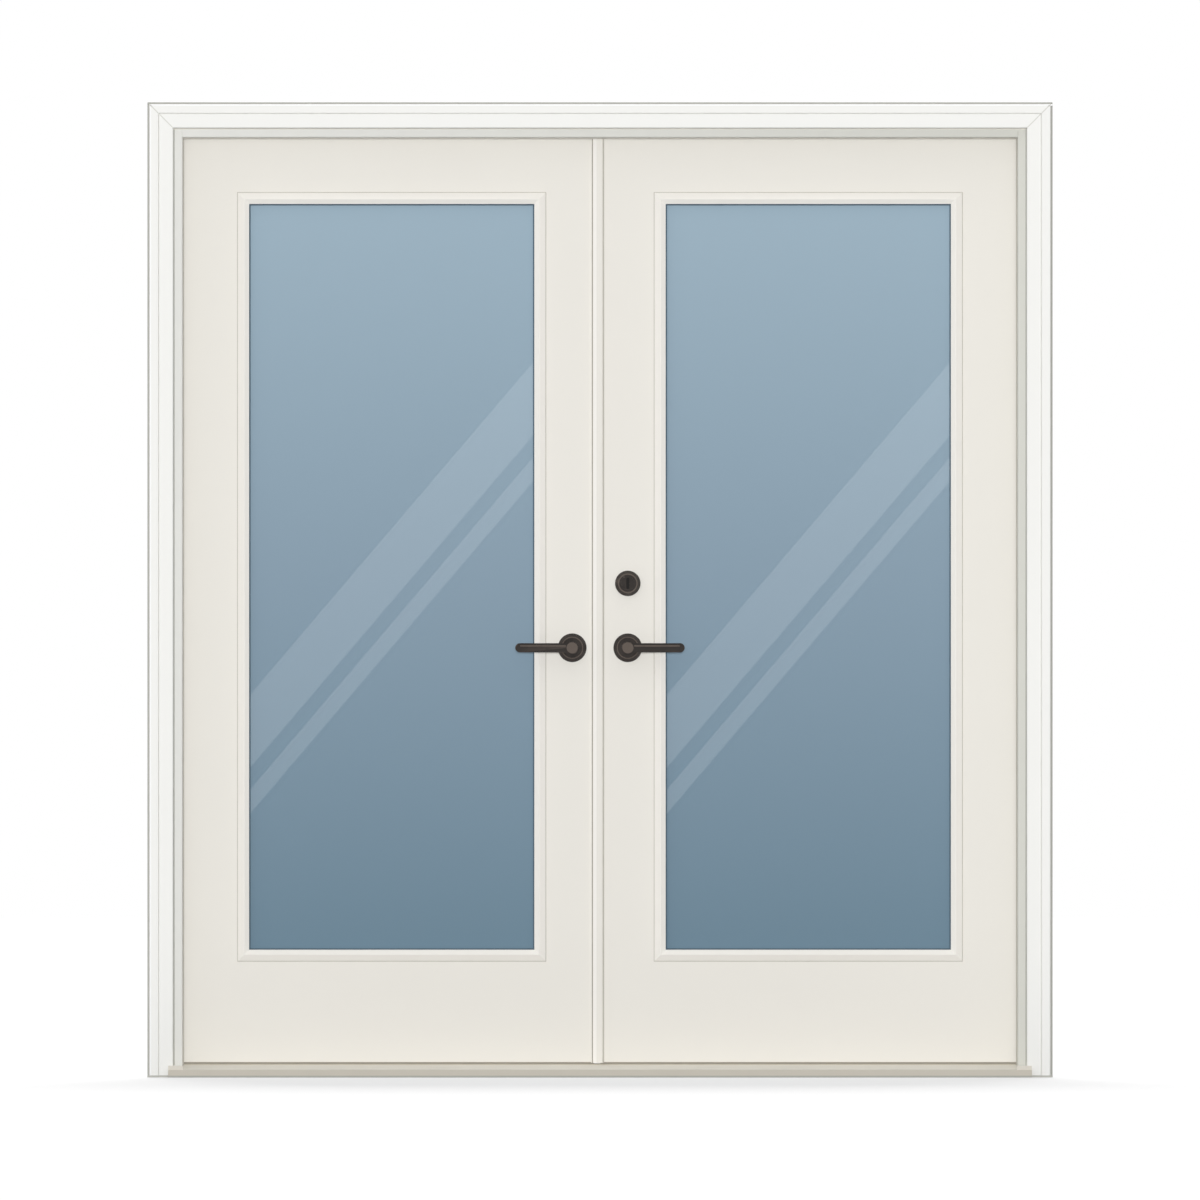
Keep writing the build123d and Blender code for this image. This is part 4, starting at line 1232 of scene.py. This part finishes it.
@dataclass
class LeverSet:
    """Levers and rosettes of one leaf."""

    shop: Workshop
    side: Side
    rose_ease: float = 0.0007
    lever_ease: float = 0.0012
    ring_radius: float = 0.0226
    ring_width: float = 0.0026
    reed_start: float = 0.0145
    reed_end: float = 0.1115
    reed_lift: float = 0.0040
    reed_width: float = 0.0030
    reed_rise: float = 0.0007
    reed_sink: float = 0.0016

    def build(self) -> None:
        """Dress both faces' levers and roses, and add their rings and reeds in a lighter bronze, which is a
        painted highlight.
        """
        for face in Face:
            name = f"{self.side.value}_{face.value}"
            coats = (
                ("bronze_trim", self.rose_ease, ("rosette",)),
                (f"{self.side.value}_lever_bronze", self.lever_ease, ("lever",)),
            )
            self.shop.dress(coats, f"{name}_")
            self.trim(name, face)

    def trim(self, name: str, face: Face) -> None:
        """Ring on the rose and reed on the bar, in a lighter bronze that is a painted highlight.

        Args:
            name: start of the pieces' names.
            face: which face of the leaf.
        """
        sign, half = self.side.sign, self.reed_width / 2
        x = sign * LOCK_OFFSET
        rose = Vector((x, face.front(f"{name}_rosette"), LEVER_HEIGHT))
        build = painted_highlight_ring(self.ring_radius, self.ring_width, rose, face.outward)
        self.shop.piece(f"{name}_rose_ring", build, self.side.body, "bronze_trim", "painted_highlight_bronze", True)

        bar = face.front(f"{name}_lever") - face.outward.y * self.reed_sink
        start, end = x + sign * self.reed_start, x + sign * self.reed_end
        middle, sizes = (bar, LEVER_HEIGHT + self.reed_lift), (sign * half, self.reed_rise, half)
        build = pulled((start, start, end), middle, sizes, sides=16, rows=12)
        body = self.side.lever_body
        self.shop.piece(f"{name}_lever_reed", build, body, "bronze_trim", "painted_highlight_bronze", True)


@dataclass
class Deadbolt:
    """Collar, plug, rose, thumb turn, bolts and cases of the active leaf."""

    shop: Workshop
    ring_radius: float = 0.0200
    ring_width: float = 0.0025
    keyway_width: float = 0.0062
    keyway_height: float = 0.0240
    keyway_sink: float = 0.0016
    keyway_depth: float = 0.004
    screw: Screw = field(default_factory=lambda: Screw(0.0036))
    screw_reach: float = 0.0215
    coats: ClassVar[Coats] = (
        ("bronze_trim", 0.0007, ("deadbolt_collar", "deadbolt_rose", "thumb_turn", "key_plug")),
        ("lock_steel", 0.0003, ("lock_cases", "latch_bolt", "deadbolt_bolt", "lever_spindle")),
    )

    def build(self) -> None:
        """Dress the trim and the works, and add the ring, the keyway and the screws."""
        self.shop.dress(self.coats)
        self.ring()
        self.keyway()
        self.screws()

    def ring(self) -> None:
        """Ring round the collar's face, in a lighter bronze that is a painted highlight."""
        face = Vector((LOCK_OFFSET, Face.OUTSIDE.front("deadbolt_collar"), DEADBOLT_HEIGHT))
        build = painted_highlight_ring(self.ring_radius, self.ring_width, face, Face.OUTSIDE.outward)
        self.shop.piece("deadbolt_ring", build, "active_door", "bronze_trim", "painted_highlight_bronze", True)

    def keyway(self) -> None:
        """Near-black plate at the bottom of the keyway: painted shade in the slot."""
        front = Face.OUTSIDE.front("key_plug") + self.keyway_sink
        half = self.keyway_width / 2
        tall = self.keyway_height / 2 - half
        outline = arc((0.0, tall), -half, -half, 12) + arc((0.0, -tall), half, half, 12)
        rings = [
            [(LOCK_OFFSET + x, depth, DEADBOLT_HEIGHT + z) for x, z in outline]
            for depth in (front, front + self.keyway_depth)
        ]
        build = skinned(rings, closed=False)
        self.shop.piece("keyway_shade_plate", build, "key_plug", "bronze_trim", "keyway_painted_shade")

    def screws(self) -> None:
        """Two screws in each faceplate."""
        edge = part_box("lock_cases")[0].x
        low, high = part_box("lock_strikes")
        heights = [z + end * self.screw_reach for z in (LEVER_HEIGHT, DEADBOLT_HEIGHT) for end in (-1, 1)]
        spots = [Vector((edge, (low.y + high.y) / 2, z)) for z in heights]
        heads = joined(self.screw.mesh(spot, Vector((-1, 0, 0))) for spot in spots)
        self.shop.piece("faceplate_screws", heads, "active_door", "lock_steel", smooth=True)


@dataclass(frozen=True)
class Lamp:
    """A distant lamp: its level, the way its light travels and its spread in degrees."""

    name: str
    level: float
    aim: Triple
    spread: float

    def build(self) -> None:
        """Hang the lamp, with no glare of its own in glass or paint."""
        light = bpy.data.lights.new(self.name, "SUN")
        light.energy = self.level
        light.angle = math.radians(self.spread)
        obj = placed(self.name, light)
        obj.rotation_euler = Vector(self.aim).to_track_quat("-Z", "Y").to_euler()
        obj.visible_glossy = False


@dataclass
class Studio:
    """Floor, world, lamps, reflector strips and camera."""

    width: float = 2.6
    middle: float = 1.0337
    distance: float = 60.0
    sensor: float = 36.0
    lens_reach: float = 200.0
    floor_size: float = 60.0
    floor_drop: float = 0.0005
    floor_bounce: float = 0.25
    floor_glow: float = 0.63
    floor_share: float = 0.36
    base_level: float = 0.19
    lobe_level: float = 0.47
    lobe_aim: Triple = (-0.5, -0.65, 0.57)
    daylight: Colour = (1.0, 0.995, 0.985)
    lamps: tuple[Lamp, ...] = (
        Lamp("front_lamp", 1.88, (0.0, 1.0, -0.03), 5.0),
        Lamp("rim_lamp", 2.8, (0.0, -0.6, -0.8), 30.0),
    )
    streak_level: float = 2.6
    streak_back: float = 24.0
    streak_rise: float = 0.7216
    streak_shift: float = 0.9048
    streak_sides: Point = (-0.7598, -0.1452)
    streak_bands: tuple[Point, ...] = ((0.6696, 0.8278), (0.5699, 0.6219))
    streak_hidden: tuple[str, ...] = ("camera", "diffuse", "shadow", "transmission")

    def build(self) -> None:
        """Set up everything that is not the object."""
        self.floor()
        self.world()
        for lamp in self.lamps:
            lamp.build()
        self.streaks()
        self.camera()
        bpy.context.scene.view_settings.view_transform = "Standard"

    def floor(self) -> None:
        """White floor that keeps the soft shadow under the sill."""
        bpy.ops.mesh.primitive_plane_add(size=self.floor_size, location=(0, 0, -self.floor_drop))
        plane = bpy.context.object
        plane.name = "floor"
        graph = Surface("floor_white")
        plain, dim = (
            graph.add("ShaderNodeBsdfDiffuse", None, Color=(level,) * 3)
            for level in (self.floor_bounce, self.floor_share)
        )
        glow = graph.add("ShaderNodeEmission", None, Color=WHITE, Strength=self.floor_glow)
        white = graph.add("ShaderNodeAddShader", None, _0=dim, _1=glow)
        plane.data.materials.append(graph.output(graph.shares(graph.seen(), plain, white)))

    def world(self) -> None:
        """Soft daylight, stronger from the upper left in front, that the camera sees as white."""
        world = bpy.data.worlds.new("white")
        bpy.context.scene.world = world
        world.use_nodes = True
        graph = Graph(world.node_tree)
        way = graph.add("ShaderNodeTexCoord").outputs["Generated"]
        aim = Vector(self.lobe_aim).normalized()
        facing_sky = graph.add("ShaderNodeVectorMath", {"operation": "DOT_PRODUCT"}, _0=way, _1=tuple(aim))
        lobe = Value(graph, facing_sky.outputs["Value"]) | 0.0
        level = self.base_level + lobe * self.lobe_level
        soft = graph.add("ShaderNodeBackground", None, Color=self.daylight, Strength=level)
        white = graph.add("ShaderNodeBackground", None, Color=WHITE, Strength=1.0)
        graph.put(graph.tree.nodes["World Output"].inputs[0], graph.shares(graph.seen(), soft, white))

    def streaks(self) -> None:
        """Slanted light strips behind the camera that only show as reflections in the glass."""
        graph = Surface("strip_light")
        graph.output(graph.add("ShaderNodeEmission", None, Color=WHITE, Strength=self.streak_level))
        spread, rise = 1.0 + self.streak_back / self.distance, self.streak_rise
        for shift in (0.0, self.streak_shift):
            left, right = (side + shift for side in self.streak_sides)
            for low, high in self.streak_bands:
                outline = [(left, low), (right, low + rise), (right, high + rise), (left, high)]
                points = [
                    (x * spread, -self.streak_back, self.middle + (z - self.middle) * spread)
                    for x, z in outline
                ]
                mesh = bpy.data.meshes.new("strip")
                mesh.from_pydata(points, [], [(0, 1, 2, 3)])
                mesh.materials.append(graph.material)
                strip = placed("strip", mesh)
                for ray in self.streak_hidden:
                    setattr(strip, f"visible_{ray}", False)

    def camera(self) -> None:
        """Long lens square in front of the door, framed as the photo is."""
        lens = bpy.data.cameras.new("camera")
        lens.sensor_width = self.sensor
        lens.lens = self.distance * self.sensor / self.width
        lens.clip_end = self.lens_reach
        obj = placed("camera", lens)
        obj.location = (0.0, -self.distance, self.middle)
        obj.rotation_euler = (math.radians(90), 0.0, 0.0)
        bpy.context.scene.camera = obj


def main() -> None:
    """Dress the frame in order, set the stage and report."""
    logging.basicConfig(level=logging.INFO)
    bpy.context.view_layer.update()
    shop = Workshop()
    Surround(shop).build()
    Astragal(shop).build()
    for side in Side:
        Leaf(shop, side).build()
        Hinges(shop, side).build()
        LeverSet(shop, side).build()
    Deadbolt(shop).build()
    Studio().build()


if __name__ == "__main__":
    main()
